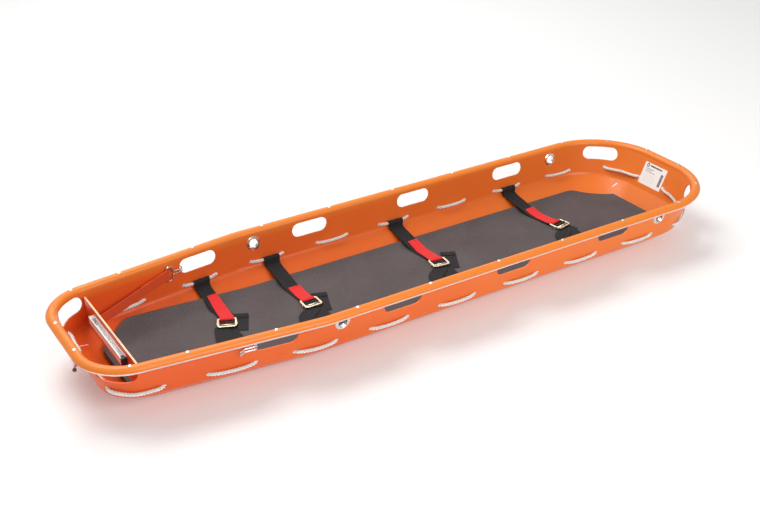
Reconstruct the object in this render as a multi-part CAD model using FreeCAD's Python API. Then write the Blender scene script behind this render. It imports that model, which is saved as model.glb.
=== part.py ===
import FreeCAD, Part
import math
import os

os.makedirs("parts", exist_ok=True)
Vector = FreeCAD.Vector

# Plastic basket stretcher. Millimetres, +Z up, origin at the middle of the resting face.
# +X points to the head end, +Y to the patient's left when lying face up.

# Rolled rim, measured on the axis of the tube inside it
RIM_Z = 174.3
RIM_HALF_WIDTH = 289.3
RIM_FOOT_X = -1064.3
RIM_HEAD_X = 1064.3
RIM_FOOT_HALF_WIDTH = 216.0
RIM_BEND_X = -438.0
FOOT_RADIUS = 133.0
BEND_RADIUS = 325.0
HEAD_RADIUS = 228.0
ROLL_RADIUS = 15.7
ROLL_END_ANGLE = math.radians(9.0)
SHELL_WALL = 4.3
TUBE_RADIUS = 11.3
TUBE_WALL = 2.0
TUBE_SPLIT_FOOT_X = 0.0
TUBE_SPLIT_HEAD_X = 46.0
SLEEVE_LENGTH = 190.0

# Body of the basket: outer insets from the rim axis at the rim, knee and floor levels
KNEE_Z = 72.0
FLOOR_Z = 10.0
RIM_INSET = ROLL_RADIUS - SHELL_WALL
SIDE_INSETS = (RIM_INSET, 24.3, 104.0)
FOOT_INSETS = (RIM_INSET, 40.0, 135.0)
HEAD_INSETS = (RIM_INSET, 58.0, 110.0)
CORNER_RADII = (
    (FOOT_RADIUS - RIM_INSET, BEND_RADIUS - RIM_INSET, HEAD_RADIUS - RIM_INSET),
    (105.0, 301.0, 188.0),
    (55.0, 225.0, 130.0),
)
INNER_KNEE_RISE = 2.3
INNER_FLOOR_SHIFT = 1.6
KNEE_FILLET = 24.0
FLOOR_FILLET = 18.0

# Skid runners moulded into the floor
RUNNER_Y = 95.0
RUNNER_HALF_WIDTH = 26.0
RUNNER_FOOT_X = -800.0
RUNNER_HEAD_X = 880.0
RUNNER_DRAFT = 9.0

# Hand holds, lifting grommets and rim rivets
HANDHOLD_X = (-577.0, -186.0, 205.0, 596.0)
HANDHOLD_LENGTH = 125.0
HANDHOLD_LOW_Z = 126.0
HANDHOLD_HIGH_Z = 171.0
HEAD_CORNER_HOLD_ANGLE = 46.5
FOOT_CORNER_HOLD_ANGLE = 131.5
HEAD_SLOT_ANGLE = 20.7
HEAD_SLOT_Z = 55.0
HEAD_SLOT_LENGTH = 24.0
HEAD_SLOT_WIDTH = 7.0
HEAD_SLOT_TURN = math.radians(60.0)
GROMMET_X = (-384.0, 787.0)
GROMMET_Z = 148.0
GROMMET_BORE = 14.0
GROMMET_BARREL = 17.0
GROMMET_FLANGE = 23.0
RIVET_X = (-823.0, -583.0, -343.0, -103.0, 137.0, 377.0, 617.0)
RIVET_END_Y = 77.0
RIVET_FOOT_ANGLE = 107.5
RIVET_HEAD_ANGLES = (85.2, 42.6)
RIVET_HEAD = 5.5
RIVET_SHANK = 2.4
RIVET_SINK = 0.6

# Lifeline rope laced through the wall
ROPE_RADIUS = 5.0
ROPE_Z = 90.0
ROPE_HOLE_CLEARANCE = 0.8
ROPE_INSIDE_GAP = 9.5
ROPE_OUTSIDE_GAP = 6.2
ROPE_CROSSING = 20.0
ROPE_PITCH = 234.0
ROPE_FIRST_X = -579.0
ROPE_SIDE_LOOPS = 6
ROPE_INSIDE_HALF = 43.0
ROPE_SAG = 5.0
ROPE_CORNER_EXTRA = 3.0
KNOT_RADIUS = 11.0
ROPE_TAIL_LENGTH = 30.0

# Instruction label on the head wall
LABEL_WIDTH = 104.0
LABEL_HEIGHT = 78.0
LABEL_CORNER = 3.0
LABEL_THICKNESS = 0.5

# Mattress pad
PAD_THICKNESS = 16.0
PAD_CLEARANCE = 1.2
PAD_EDGE_GAP = 3.0
# Cut outline of the mat: position along the basket and half width there
PAD_OUTLINE = ((-940.0, 128.0), (-842.0, 206.0), (-438.0, 208.5), (840.0, 207.0), (950.0, 112.0))
PAD_STATIONS = (-916.0, -900.0, -880.0, -842.0, -438.0, 815.0, 840.0, 862.0, 884.0, 904.0, 922.0, 936.0)
PAD_FOOT_RISE = 15.0
PAD_HEAD_RISE = 9.0

# Patient restraint straps: x at the left and right walls, y of the red tab's tip,
# x and y of the buckle's centre, and the buckle's turn on the pad in degrees
STRAPS = (
    (-579.0, -585.0, 192.0, -584.5, 53.0, -23.5),
    (-335.0, -352.0, 136.0, -323.0, 22.0, -1.0),
    (123.0, 117.0, 174.0, 139.0, 19.0, -7.0),
    (591.0, 594.0, 160.0, 632.0, 18.0, 12.5),
)
STRAP_WIDTH = 50.0
STRAP_THICKNESS = 2.6
TAB_WIDTH = 40.0
TAB_THICKNESS = 2.2
BUCKLE_FAR_Y = 19.0
BUCKLE_BAR_Y = -1.0
BUCKLE_NEAR_Y = -19.0
BUCKLE_APPROACH = 26.0
CHEEK_WALL = 3.0
BUCKLE_ROD = 2.6
BUCKLE_HALF_WIDTH = 28.0
BUCKLE_TRAVEL = 6.0

# Foot rest held by two hooked straps
REST_FACE_X = -940.0
REST_THICKNESS = 5.0
REST_TOP_Z = 168.0
REST_LOW_Z = 84.0
REST_SIDE_GAP = 3.0
CHANNEL_HALF_LENGTH = 119.0
CHANNEL_WIDTH = 16.0
CHANNEL_HEIGHT = 22.0
CHANNEL_TOP_Z = 150.0
CHANNEL_WALL = 2.5
REST_STRAP_WIDTH = 39.0
REST_STRAP_Z = 104.5
REST_STRAP_CORNER_Y = 144.0
REST_STRAP_LEG = 46.0
REST_STRAP_THICKNESS = 2.4
HOOK_WIRE = 2.6
HOOK_Z = 146.0
# Hook wire offsets from the hand hold's end: out of the wall, along it, and half heights
HOOK_INNER = -9.0
HOOK_OUTER = 13.3
HOOK_TIP = -46.0
HOOK_STRAIGHT = -30.0
HOOK_NECK = -25.0
HOOK_SHOULDER = -33.0
HOOK_BASE = -46.0
HOOK_BASE_HALF = 23.0
HOOK_PAIR_HALF = 4.5

TAPER = math.atan2(RIM_HALF_WIDTH - RIM_FOOT_HALF_WIDTH, RIM_BEND_X - RIM_FOOT_X)
# Heights of the rim axis, the knee of the wall and the floor
LEVELS = (RIM_Z, KNEE_Z, FLOOR_Z)


def save(shape, name):
    """Write one part as a STEP file and print its state."""
    shape.exportStep("parts/" + name + ".step")
    print(name, "solids", len(shape.Solids), "valid", shape.isValid(), "volume", round(shape.Volume))


def rounded_wire(points, radii, closed=False):
    """Straight runs joined by tangent arcs; radii has one entry per point."""
    count = len(points)
    starts = []
    ends = []
    mids = []
    for index in range(count):
        here = points[index]
        radius = radii[index]
        if (not closed and index in (0, count - 1)) or radius <= 0:
            starts.append(here)
            ends.append(here)
            mids.append(None)
            continue
        back = (points[index - 1] - here).normalize()
        ahead = (points[(index + 1) % count] - here).normalize()
        half = back.getAngle(ahead) / 2
        reach = radius / math.tan(half)
        bisector = (back + ahead).normalize()
        starts.append(here + back * reach)
        ends.append(here + ahead * reach)
        mids.append(here + bisector * (radius / math.sin(half) - radius))
    edges = []
    for index in range(count):
        if mids[index] is not None:
            edges.append(Part.Arc(starts[index], mids[index], ends[index]).toShape())
        last = index == count - 1
        if last and not closed:
            break
        run_end = starts[(index + 1) % count]
        if (run_end - ends[index]).Length > 1e-4:
            edges.append(Part.LineSegment(ends[index], run_end).toShape())
    return Part.Wire(edges)


def pipe(path, radius, start, direction):
    """Solid round bar of one radius along a tangent path."""
    circle = Part.Wire([Part.makeCircle(radius, start, direction)])
    return path.makePipeShell([circle], True, False)


def lerp(low, high, part):
    """Value a share of the way from low to high."""
    return low + (high - low) * part


def outer_numbers(z):
    """Side, foot and head insets and the three corner radii of the outer face at height z."""
    upper = z >= KNEE_Z
    index = 0 if upper else 1
    part = (LEVELS[index] - z) / (LEVELS[index] - LEVELS[index + 1])
    insets = [lerp(row[index], row[index + 1], part) for row in (SIDE_INSETS, FOOT_INSETS, HEAD_INSETS)]
    radii = [lerp(a, b, part) for a, b in zip(CORNER_RADII[index], CORNER_RADII[index + 1])]
    return insets, radii


def corner_points(side, foot, head):
    """Plan corners of the left half: foot, bend and head."""
    foot_x = RIM_FOOT_X + foot
    head_x = RIM_HEAD_X - head
    half = RIM_HALF_WIDTH - side
    slope = math.tan(TAPER)
    at_foot = RIM_FOOT_HALF_WIDTH + slope * (foot_x - RIM_FOOT_X) - side / math.cos(TAPER)
    bend_x = foot_x + (half - at_foot) / slope
    return (foot_x, at_foot), (bend_x, half), (head_x, half)


def plan_wire(z, insets, radii):
    """Closed plan outline of the basket at one height."""
    foot, bend, head = corner_points(*insets)
    left = [Vector(x, y, z) for x, y in (foot, bend, head)]
    right = [Vector(p.x, -p.y, p.z) for p in reversed(left)]
    return rounded_wire(left + right, list(radii) + list(reversed(radii)), closed=True)


def wall_place(kind, where, z, out):
    """Point at height z, out millimetres outside the inner wall face, on the left half.

    kind is side (where is x), head or foot (where is y), head_corner or foot_corner
    (where is the angle in degrees about the corner's centre).
    """
    insets, radii = outer_numbers(z)
    shift = SHELL_WALL - out
    side = insets[0] + shift
    foot = insets[1] + shift
    head = insets[2] + shift
    foot_corner, bend_corner, head_corner = corner_points(side, foot, head)
    if kind == "side":
        reach = min(0.0, where - bend_corner[0])
        return Vector(where, bend_corner[1] + reach * math.tan(TAPER), z)
    if kind == "head":
        return Vector(head_corner[0], where, z)
    if kind == "foot":
        return Vector(foot_corner[0], where, z)
    angle = math.radians(where)
    if kind == "head_corner":
        radius = radii[2] - shift
        centre = Vector(head_corner[0] - radius, head_corner[1] - radius, z)
    else:
        radius = radii[0] - shift
        slope_y = foot_corner[1] + radius * math.tan(TAPER) - radius / math.cos(TAPER)
        centre = Vector(foot_corner[0] + radius, slope_y, z)
    return centre + Vector(math.cos(angle), math.sin(angle), 0) * radius


def rim_axis_point(kind, where):
    """Point on the tube axis of the rim."""
    return wall_place(kind, where, RIM_Z, SHELL_WALL + RIM_INSET)


def mirrored(shape):
    """Copy on the other side of the long vertical plane."""
    return shape.mirror(Vector(0, 0, 0), Vector(0, 1, 0))


# ---------------------------------------------------------------- basket shell


def basket_body():
    """Open tray: outer loft less inner loft, with the knee and floor edges rounded."""
    outer_wires = []
    for z in LEVELS:
        insets, radii = outer_numbers(z)
        outer_wires.append(plan_wire(z, insets, radii))
    outer = Part.makeLoft(outer_wires, True, True)
    inner_z = (RIM_Z, KNEE_Z + INNER_KNEE_RISE, FLOOR_Z + SHELL_WALL)
    inner_wires = []
    for z in inner_z[:2]:
        insets, radii = outer_numbers(z)
        inner_insets = [inset + SHELL_WALL for inset in insets]
        inner_wires.append(plan_wire(z, inner_insets, [radius - SHELL_WALL for radius in radii]))
    floor_insets, floor_radii = inner_floor_numbers()
    inner_wires.append(plan_wire(inner_z[2], floor_insets, floor_radii))
    inner = Part.makeLoft(inner_wires, True, True)
    outer = rounded_levels(outer, KNEE_Z, KNEE_FILLET)
    inner = rounded_levels(inner, inner_z[1], KNEE_FILLET - SHELL_WALL)
    outer = rounded_levels(outer, FLOOR_Z, FLOOR_FILLET)
    inner = rounded_levels(inner, inner_z[2], FLOOR_FILLET - SHELL_WALL)
    return outer.cut(inner)


def inner_floor_numbers():
    """Insets and corner radii of the floor's upper face, at the foot of the slopes."""
    insets = (
        SIDE_INSETS[2] + INNER_FLOOR_SHIFT,
        FOOT_INSETS[2] + INNER_FLOOR_SHIFT,
        HEAD_INSETS[2] + INNER_FLOOR_SHIFT,
    )
    return insets, [radius - SHELL_WALL for radius in CORNER_RADII[2]]


def rounded_levels(solid, z, radius):
    """Fillet every edge that lies level at height z."""
    edges = [e for e in solid.Edges if abs(e.BoundBox.ZMax - z) < 0.01 and abs(e.BoundBox.ZMin - z) < 0.01]
    return solid.makeFillet(radius, edges)


def rim_roll():
    """Plastic rolled over the tube, with a rounded edge at the middle of its outer side."""
    path = plan_wire(RIM_Z, (0.0, 0.0, 0.0), (FOOT_RADIUS, BEND_RADIUS, HEAD_RADIUS))
    start = path.Vertexes[0].Point
    first = path.Edges[0]
    tangent = first.tangentAt(first.FirstParameter)
    if (first.valueAt(first.FirstParameter) - start).Length > 1e-3:
        start = first.valueAt(first.FirstParameter)
    outward = tangent.cross(Vector(0, 0, 1)).normalize()
    if outward.dot(start) < 0:
        outward = outward * -1
    up = Vector(0, 0, 1)

    def at(u, v):
        return start + outward * u + up * v

    big = ROLL_RADIUS
    small = ROLL_RADIUS - SHELL_WALL
    middle = (big + small) / 2
    end_u = math.cos(ROLL_END_ANGLE)
    end_v = math.sin(ROLL_END_ANGLE)
    edges = [
        Part.Arc(at(-big, 0), at(0, big), at(big * end_u, big * end_v)).toShape(),
        Part.Arc(at(big * end_u, big * end_v), at(middle, 0), at(small * end_u, small * end_v)).toShape(),
        Part.Arc(at(small * end_u, small * end_v), at(0, small), at(-small, 0)).toShape(),
        Part.LineSegment(at(-small, 0), at(-big, 0)).toShape(),
    ]
    return path.makePipeShell([Part.Wire(edges)], True, False)


def runners():
    """Two hollow skid runners: the outer rails and the grooves inside them."""
    rails = []
    grooves = []
    for side in (-1, 1):
        rails.append(runner_block(side * RUNNER_Y, 0.0, FLOOR_Z + SHELL_WALL / 2, 0.0))
        grooves.append(runner_block(side * RUNNER_Y, SHELL_WALL, FLOOR_Z + SHELL_WALL + 1, SHELL_WALL))
    return rails, grooves


def runner_block(y, low_z, high_z, shrink):
    """Tapered rail, wider and longer at the top than on the ground."""
    wires = []
    for z, grow in ((low_z, 0.0), (high_z, RUNNER_DRAFT)):
        half = RUNNER_HALF_WIDTH - RUNNER_DRAFT + grow - shrink
        foot_x = RUNNER_FOOT_X - 3 * grow + shrink
        head_x = RUNNER_HEAD_X + 3 * grow - shrink
        corners = [
            Vector(foot_x, y - half, z),
            Vector(head_x, y - half, z),
            Vector(head_x, y + half, z),
            Vector(foot_x, y + half, z),
        ]
        wires.append(rounded_wire(corners, [half * 0.7] * 4, closed=True))
    return Part.makeLoft(wires, True, True)


def wall_axes(kind, where, z):
    """Point on the inner face, and the level directions along and out of the wall there."""
    point = wall_place(kind, where, z, 0.0)
    step = 1.0
    beside = wall_place(kind, where + step, z, 0.0)
    along = (beside - point).normalize()
    out = along.cross(Vector(0, 0, 1)).normalize()
    if out.dot(point) < 0:
        out = out * -1
    return point, along, out


def handhold_cutter(x):
    """Round-ended slot through the left wall, lying along it."""
    middle_z = (HANDHOLD_LOW_Z + HANDHOLD_HIGH_Z) / 2
    radius = (HANDHOLD_HIGH_Z - HANDHOLD_LOW_Z) / 2
    point, along, out = wall_axes("side", x, middle_z)
    reach = HANDHOLD_LENGTH / 2 - radius
    up = Vector(0, 0, 1)
    inside = point - out * 18
    low_a = inside - along * reach - up * radius
    low_b = inside + along * reach - up * radius
    high_a = inside - along * reach + up * radius
    high_b = inside + along * reach + up * radius
    edges = [
        Part.LineSegment(low_a, low_b).toShape(),
        Part.Arc(low_b, inside + along * (reach + radius), high_b).toShape(),
        Part.LineSegment(high_b, high_a).toShape(),
        Part.Arc(high_a, inside - along * (reach + radius), low_a).toShape(),
    ]
    return Part.Face(Part.Wire(edges)).extrude(out * 38)


def corner_handhold_cutter(kind, middle_angle):
    """Round-ended slot wrapped round a corner of the left wall."""
    middle_z = (HANDHOLD_LOW_Z + HANDHOLD_HIGH_Z) / 2
    slot_radius = (HANDHOLD_HIGH_Z - HANDHOLD_LOW_Z) / 2
    _, radii = outer_numbers(middle_z)
    wall_radius = radii[2] if kind == "head_corner" else radii[0]
    on_wall = wall_place(kind, middle_angle, middle_z, SHELL_WALL)
    turn = math.radians(middle_angle)
    centre = on_wall - Vector(math.cos(turn), math.sin(turn), 0) * wall_radius
    sweep = math.degrees((HANDHOLD_LENGTH - 2 * slot_radius) / wall_radius)
    depth = 16.0
    low = middle_z - slot_radius
    ring = Part.makeCylinder(wall_radius + depth, 2 * slot_radius, Vector(centre.x, centre.y, low),
                             Vector(0, 0, 1), sweep)
    hollow = Part.makeCylinder(wall_radius - depth - SHELL_WALL, 2 * slot_radius,
                               Vector(centre.x, centre.y, low))
    sector = ring.cut(hollow)
    sector.rotate(centre, Vector(0, 0, 1), middle_angle - sweep / 2)
    pieces = [sector]
    for end in (-sweep / 2, sweep / 2):
        angle = math.radians(middle_angle + end)
        direction = Vector(math.cos(angle), math.sin(angle), 0)
        start = centre + direction * (wall_radius - depth - SHELL_WALL)
        pieces.append(Part.makeCylinder(slot_radius, 2 * depth + SHELL_WALL, start, direction))
    return pieces[0].multiFuse(pieces[1:])


def head_slot_cutter():
    """Short slanting strap slot through the sloping wall at the head corner."""
    centre = wall_place("head_corner", HEAD_SLOT_ANGLE, HEAD_SLOT_Z, 0.0)
    beside = wall_place("head_corner", HEAD_SLOT_ANGLE - 5.0, HEAD_SLOT_Z, 0.0)
    above = wall_place("head_corner", HEAD_SLOT_ANGLE, HEAD_SLOT_Z + 10.0, 0.0)
    across = (beside - centre).normalize()
    outward = across.cross((above - centre).normalize()).normalize()
    if outward.z > 0:
        outward = outward * -1
    uphill = across.cross(outward).normalize()
    if uphill.z < 0:
        uphill = uphill * -1
    along = across * math.cos(HEAD_SLOT_TURN) + uphill * math.sin(HEAD_SLOT_TURN)
    side = along.cross(outward).normalize() * (HEAD_SLOT_WIDTH / 2)
    start = centre - outward * 15.0
    reach = along * ((HEAD_SLOT_LENGTH - HEAD_SLOT_WIDTH) / 2)
    depth = 30.0
    corners = [start - reach - side, start + reach - side, start + reach + side, start - reach + side]
    slot = Part.Face(Part.makePolygon(corners + [corners[0]])).extrude(outward * depth)
    ends = [Part.makeCylinder(HEAD_SLOT_WIDTH / 2, depth, start + step, outward) for step in (reach, reach * -1)]
    return slot.multiFuse(ends)


def grommet_frame(x):
    """Centre on the inner face and outward normal of the wall at a lifting grommet."""
    point = wall_place("side", x, GROMMET_Z, 0.0)
    lean = (SIDE_INSETS[1] - SIDE_INSETS[0]) / (RIM_Z - KNEE_Z)
    return point, Vector(0, 1, -lean).normalize()


def rivet_places():
    """Rivet positions on the left half of the rim: foot end, corners, side and head end."""
    places = [rim_axis_point("foot", RIVET_END_Y), rim_axis_point("foot_corner", RIVET_FOOT_ANGLE)]
    for x in RIVET_X:
        places.append(rim_axis_point("side", x))
    for angle in RIVET_HEAD_ANGLES:
        places.append(rim_axis_point("head_corner", angle))
    places.append(rim_axis_point("head", RIVET_END_Y))
    return places


# ---------------------------------------------------------------- lifeline rope


def rope_stations():
    """Hand-set places where the left half of the rope lies, from the foot end to the head end.

    Each entry is kind, place, height and whether the rope is inside the wall.
    """
    stations = [
        ("foot", 8.0, 105.0, False),
        ("foot", 30.0, 105.0, True),
        ("foot", 86.0, 103.0, True),
        ("foot_corner", 158.0, 102.0, True),
        ("foot_corner", 145.0, 98.0, False),
        ("foot_corner", 128.0, 93.0, False),
        ("foot_corner", 110.0, 88.0, False),
        ("side", -916.0, 88.0, False),
        ("side", -892.0, ROPE_Z, False),
        ("side", -872.0, ROPE_Z, True),
        ("side", -778.0, ROPE_Z, True),
        ("side", -758.0, ROPE_Z, False),
        ("side", -700.0, ROPE_Z - ROPE_SAG, False),
    ]
    for index in range(ROPE_SIDE_LOOPS):
        middle = ROPE_FIRST_X + index * ROPE_PITCH
        stations.append(("side", middle - ROPE_INSIDE_HALF - ROPE_CROSSING, ROPE_Z, False))
        stations.append(("side", middle - ROPE_INSIDE_HALF, ROPE_Z, True))
        stations.append(("side", middle + ROPE_INSIDE_HALF, ROPE_Z, True))
        stations.append(("side", middle + ROPE_INSIDE_HALF + ROPE_CROSSING, ROPE_Z, False))
        stations.append(("side", middle + ROPE_PITCH / 2, ROPE_Z - ROPE_SAG, False))
    last = ROPE_FIRST_X + ROPE_SIDE_LOOPS * ROPE_PITCH
    stations += [
        ("side", last - ROPE_INSIDE_HALF - ROPE_CROSSING, ROPE_Z, False),
        ("side", last - ROPE_INSIDE_HALF, ROPE_Z, True),
        ("head_corner", 79.0, ROPE_Z, True),
        ("head_corner", 72.0, 91.0, False),
        ("head_corner", 62.0, 93.0, False),
        ("head_corner", 51.0, 97.0, False),
        ("head_corner", 41.0, 100.0, False),
        ("head_corner", 34.0, 102.0, True),
        ("head_corner", 16.0, 105.0, True),
        ("head", 72.0, 105.0, True),
        ("head", 50.0, 105.0, False),
        ("head", 0.0, 101.0, False),
    ]
    return stations


def rope_point(station):
    """Point of the rope\'s route at one station."""
    kind, where, z, inside = station
    out = -ROPE_INSIDE_GAP if inside else SHELL_WALL + ROPE_OUTSIDE_GAP
    if "corner" in kind and not inside:
        out += ROPE_CORNER_EXTRA
    return wall_place(kind, where, z, out)


def rope_points():
    """Whole rope from its left end at the foot, round the head end, to its right end."""
    left = [rope_point(station) for station in rope_stations()]
    right = [Vector(p.x, -p.y, p.z) for p in reversed(left[:-1])]
    return left + right


def tangent_radii(points, share):
    """Largest useful arc at each point of a route."""
    radii = [0.0]
    for index in range(1, len(points) - 1):
        back = points[index - 1] - points[index]
        ahead = points[index + 1] - points[index]
        half_turn = (math.pi - back.getAngle(ahead)) / 2
        shorter = min(back.Length, ahead.Length)
        radii.append(share * shorter / math.tan(max(half_turn, 1e-3)))
    radii.append(0.0)
    return radii


def rope_hole_cutters(points, radii):
    """Short pieces of the rope's own path, a little fatter, where it passes through the wall."""
    stations = rope_stations()
    cutters = []
    for index in range(len(stations) - 1):
        if stations[index][3] == stations[index + 1][3]:
            continue
        a = points[index]
        b = points[index + 1]
        along = 0.5 * (b - a).Length
        bend = [a, b, b + (points[index + 2] - b).normalize() * along]
        arcs = [0.0, radii[index + 1], 0.0]
        if index:
            bend.insert(0, a + (points[index - 1] - a).normalize() * along)
            arcs.insert(1, radii[index])
        path = rounded_wire(bend, arcs)
        cutters.append(pipe(path, ROPE_RADIUS + ROPE_HOLE_CLEARANCE, bend[0], bend[1] - bend[0]))
    return cutters


def rope_knot(left_end):
    """Two round lobes where the rope's ends are tied, with a short tail pointing out."""
    lobes = []
    for side in (-1, 1):
        centre = Vector(left_end.x - 6, side * 0.6 * KNOT_RADIUS, left_end.z)
        lobes.append(Part.makeSphere(KNOT_RADIUS, centre))
    tail_start = Vector(left_end.x - 6, -0.6 * KNOT_RADIUS, left_end.z)
    tail_way = Vector(-0.55, -0.8, 0.1).normalize()
    tail = Part.makeCylinder(ROPE_RADIUS, ROPE_TAIL_LENGTH, tail_start, tail_way)
    return lobes[0].multiFuse([lobes[1], tail]).removeSplitter()


# ---------------------------------------------------------------- rim tube and fasteners


def rim_tube(at_foot):
    """Aluminium tube along one end of the rim, open where the two halves meet."""
    foot, bend, head = corner_points(0.0, 0.0, 0.0)
    if at_foot:
        left = [Vector(TUBE_SPLIT_FOOT_X, RIM_HALF_WIDTH, RIM_Z)]
        left += [Vector(bend[0], bend[1], RIM_Z), Vector(foot[0], foot[1], RIM_Z)]
        arcs = [0.0, BEND_RADIUS, FOOT_RADIUS]
    else:
        left = [Vector(TUBE_SPLIT_HEAD_X, RIM_HALF_WIDTH, RIM_Z), Vector(head[0], head[1], RIM_Z)]
        arcs = [0.0, HEAD_RADIUS]
    right = [Vector(p.x, -p.y, p.z) for p in reversed(left)]
    route = left + right
    path = rounded_wire(route, arcs + list(reversed(arcs)))
    way = route[1] - route[0]
    outer = pipe(path, TUBE_RADIUS, route[0], way)
    inner = pipe(path, TUBE_RADIUS - TUBE_WALL, route[0], way)
    return outer.cut(inner)


def tube_sleeve():
    """Hollow plug that joins the two tube halves on the left side."""
    start = Vector((TUBE_SPLIT_FOOT_X + TUBE_SPLIT_HEAD_X - SLEEVE_LENGTH) / 2, RIM_HALF_WIDTH, RIM_Z)
    radius = TUBE_RADIUS - TUBE_WALL - 0.05
    outer = Part.makeCylinder(radius, SLEEVE_LENGTH, start, Vector(1, 0, 0))
    bore = Part.makeCylinder(radius - TUBE_WALL, SLEEVE_LENGTH, start, Vector(1, 0, 0))
    collar_start = Vector(TUBE_SPLIT_FOOT_X + 0.3, RIM_HALF_WIDTH, RIM_Z)
    collar = Part.makeCylinder(TUBE_RADIUS, TUBE_SPLIT_HEAD_X - TUBE_SPLIT_FOOT_X - 0.6,
                               collar_start, Vector(1, 0, 0))
    return outer.fuse(collar).cut(bore)


def revolved(profile, place, direction):
    """Ring or pin from a radius-height outline, stood on a point along a direction."""
    corners = [Vector(r, 0, h) for r, h in profile]
    corners.append(corners[0])
    solid = Part.Face(Part.makePolygon(corners)).revolve(Vector(0, 0, 0), Vector(0, 0, 1), 360)
    turn = FreeCAD.Rotation(Vector(0, 0, 1), direction)
    solid.Placement = FreeCAD.Placement(place, turn)
    return solid


def rivet(place):
    """Blind rivet: domed head on the roll, shank through roll and tube, set bulb inside."""
    head_z = ROLL_RADIUS
    tube_inside = TUBE_RADIUS - TUBE_WALL
    profile = (
        (0.0, tube_inside - 4.0),
        (RIVET_SHANK + 1.0, tube_inside - 3.6),
        (RIVET_SHANK + 1.0, tube_inside - 1.4),
        (RIVET_SHANK, tube_inside - 0.8),
        (RIVET_SHANK, head_z - RIVET_SINK),
        (RIVET_HEAD, head_z - RIVET_SINK),
        (RIVET_HEAD - 0.4, head_z + 0.9),
        (RIVET_HEAD - 2.0, head_z + 1.7),
        (0.0, head_z + 2.0),
    )
    return revolved(profile, place, Vector(0, 0, 1))


def rim_rivets():
    """Domed rivets through the rim roll into the tube."""
    left = [rivet(place) for place in rivet_places()]
    return Part.makeCompound(left + [mirrored(r) for r in left])


def grommet(x):
    """Plated eyelet: rounded inner flange, barrel through the wall and rolled outer edge."""
    centre, normal = grommet_frame(x)
    over = SHELL_WALL + 1.6
    profile = (
        (GROMMET_BORE, -1.6),
        (GROMMET_BORE + 1.5, -3.0),
        (GROMMET_FLANGE - 3.0, -2.6),
        (GROMMET_FLANGE, -0.8),
        (GROMMET_FLANGE, 0.0),
        (GROMMET_BARREL, 0.0),
        (GROMMET_BARREL, over),
        (GROMMET_BARREL + 3.0, over),
        (GROMMET_BARREL + 2.6, over + 1.6),
        (GROMMET_BORE + 1.2, over + 2.0),
        (GROMMET_BORE, over + 0.8),
    )
    return revolved(profile, centre, normal)


def grommet_washer(x):
    """Flat backing ring under the rolled edge on the outside of the wall."""
    centre, normal = grommet_frame(x)
    profile = (
        (GROMMET_BARREL + 0.05, SHELL_WALL),
        (GROMMET_FLANGE, SHELL_WALL),
        (GROMMET_FLANGE, SHELL_WALL + 1.0),
        (GROMMET_FLANGE - 0.8, SHELL_WALL + 1.6),
        (GROMMET_BARREL + 0.05, SHELL_WALL + 1.6),
    )
    return revolved(profile, centre, normal)


def drill_rivets(shape):
    """Holes for the rim rivets, through the roll or the tube."""
    tools = []
    for place in rivet_places():
        hole = Part.makeCylinder(RIVET_SHANK + 0.05, ROLL_RADIUS, place + Vector(0, 0, 5))
        seat = Part.makeCylinder(RIVET_HEAD + 0.05, 5, place + Vector(0, 0, ROLL_RADIUS - RIVET_SINK))
        tool = hole.fuse(seat)
        tools += [tool, mirrored(tool)]
    return shape.cut(tools)


# ---------------------------------------------------------------- basket shell assembly


def basket_shell(route, radii):
    """Moulded tray with rim roll, runners, hand holds, rope holes and slots."""
    rails, grooves = runners()
    whole = basket_body().multiFuse(rails + [rim_roll()])
    left = [handhold_cutter(x) for x in HANDHOLD_X]
    left.append(corner_handhold_cutter("head_corner", HEAD_CORNER_HOLD_ANGLE))
    left.append(corner_handhold_cutter("foot_corner", FOOT_CORNER_HOLD_ANGLE))
    left.append(head_slot_cutter())
    left += rope_hole_cutters(route, radii)
    for x in GROMMET_X:
        centre, normal = grommet_frame(x)
        left.append(Part.makeCylinder(GROMMET_BARREL + 0.05, 20, centre - normal * 8, normal))
    whole = whole.cut(grooves + left + [mirrored(c) for c in left])
    return drill_rivets(whole)


def instruction_label():
    """Thin plain label on the inner face of the head wall."""
    low = wall_place("head", 0.0, 90.0, 0.0)
    high = wall_place("head", 0.0, 160.0, 0.0)
    up = (high - low).normalize()
    across = Vector(0, 1, 0)
    inward = across.cross(up).normalize()
    if inward.x > 0:
        inward = inward * -1
    half = across * (LABEL_WIDTH / 2)
    top = low + up * LABEL_HEIGHT
    corners = [low - half, low + half, top + half, top - half]
    outline = rounded_wire(corners, [LABEL_CORNER] * len(corners), closed=True)
    return Part.Face(outline).extrude(inward * LABEL_THICKNESS)


# ---------------------------------------------------------------- mattress pad


def floor_half_width(x):
    """Half width of the floor's upper face at x, with its rounded corners.

    Past the last stations of the pad the floor turns up, so its width is held.
    """
    x = min(max(x, PAD_STATIONS[0]), PAD_STATIONS[-1])
    insets, radii = inner_floor_numbers()
    foot, bend, head = corner_points(*insets)
    slope = math.tan(TAPER)
    foot_centre_x = foot[0] + radii[0]
    foot_centre_y = foot[1] + radii[0] * slope - radii[0] / math.cos(TAPER)
    head_centre_x = head[0] - radii[2]
    if x > head_centre_x:
        return bend[1] - radii[2] + math.sqrt(radii[2] ** 2 - (x - head_centre_x) ** 2)
    if x < foot_centre_x:
        return foot_centre_y + math.sqrt(radii[0] ** 2 - (x - foot_centre_x) ** 2)
    return bend[1] + min(0.0, x - bend[0]) * slope


def pad_flat_half_width(x):
    """Half width of the mat as it was cut, before it is pressed into the basket."""
    ends = PAD_OUTLINE
    for low, high in zip(ends[:-1], ends[1:]):
        if low[0] <= x <= high[0]:
            return lerp(low[1], high[1], (x - low[0]) / (high[0] - low[0]))
    return ends[-1][1]


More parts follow.
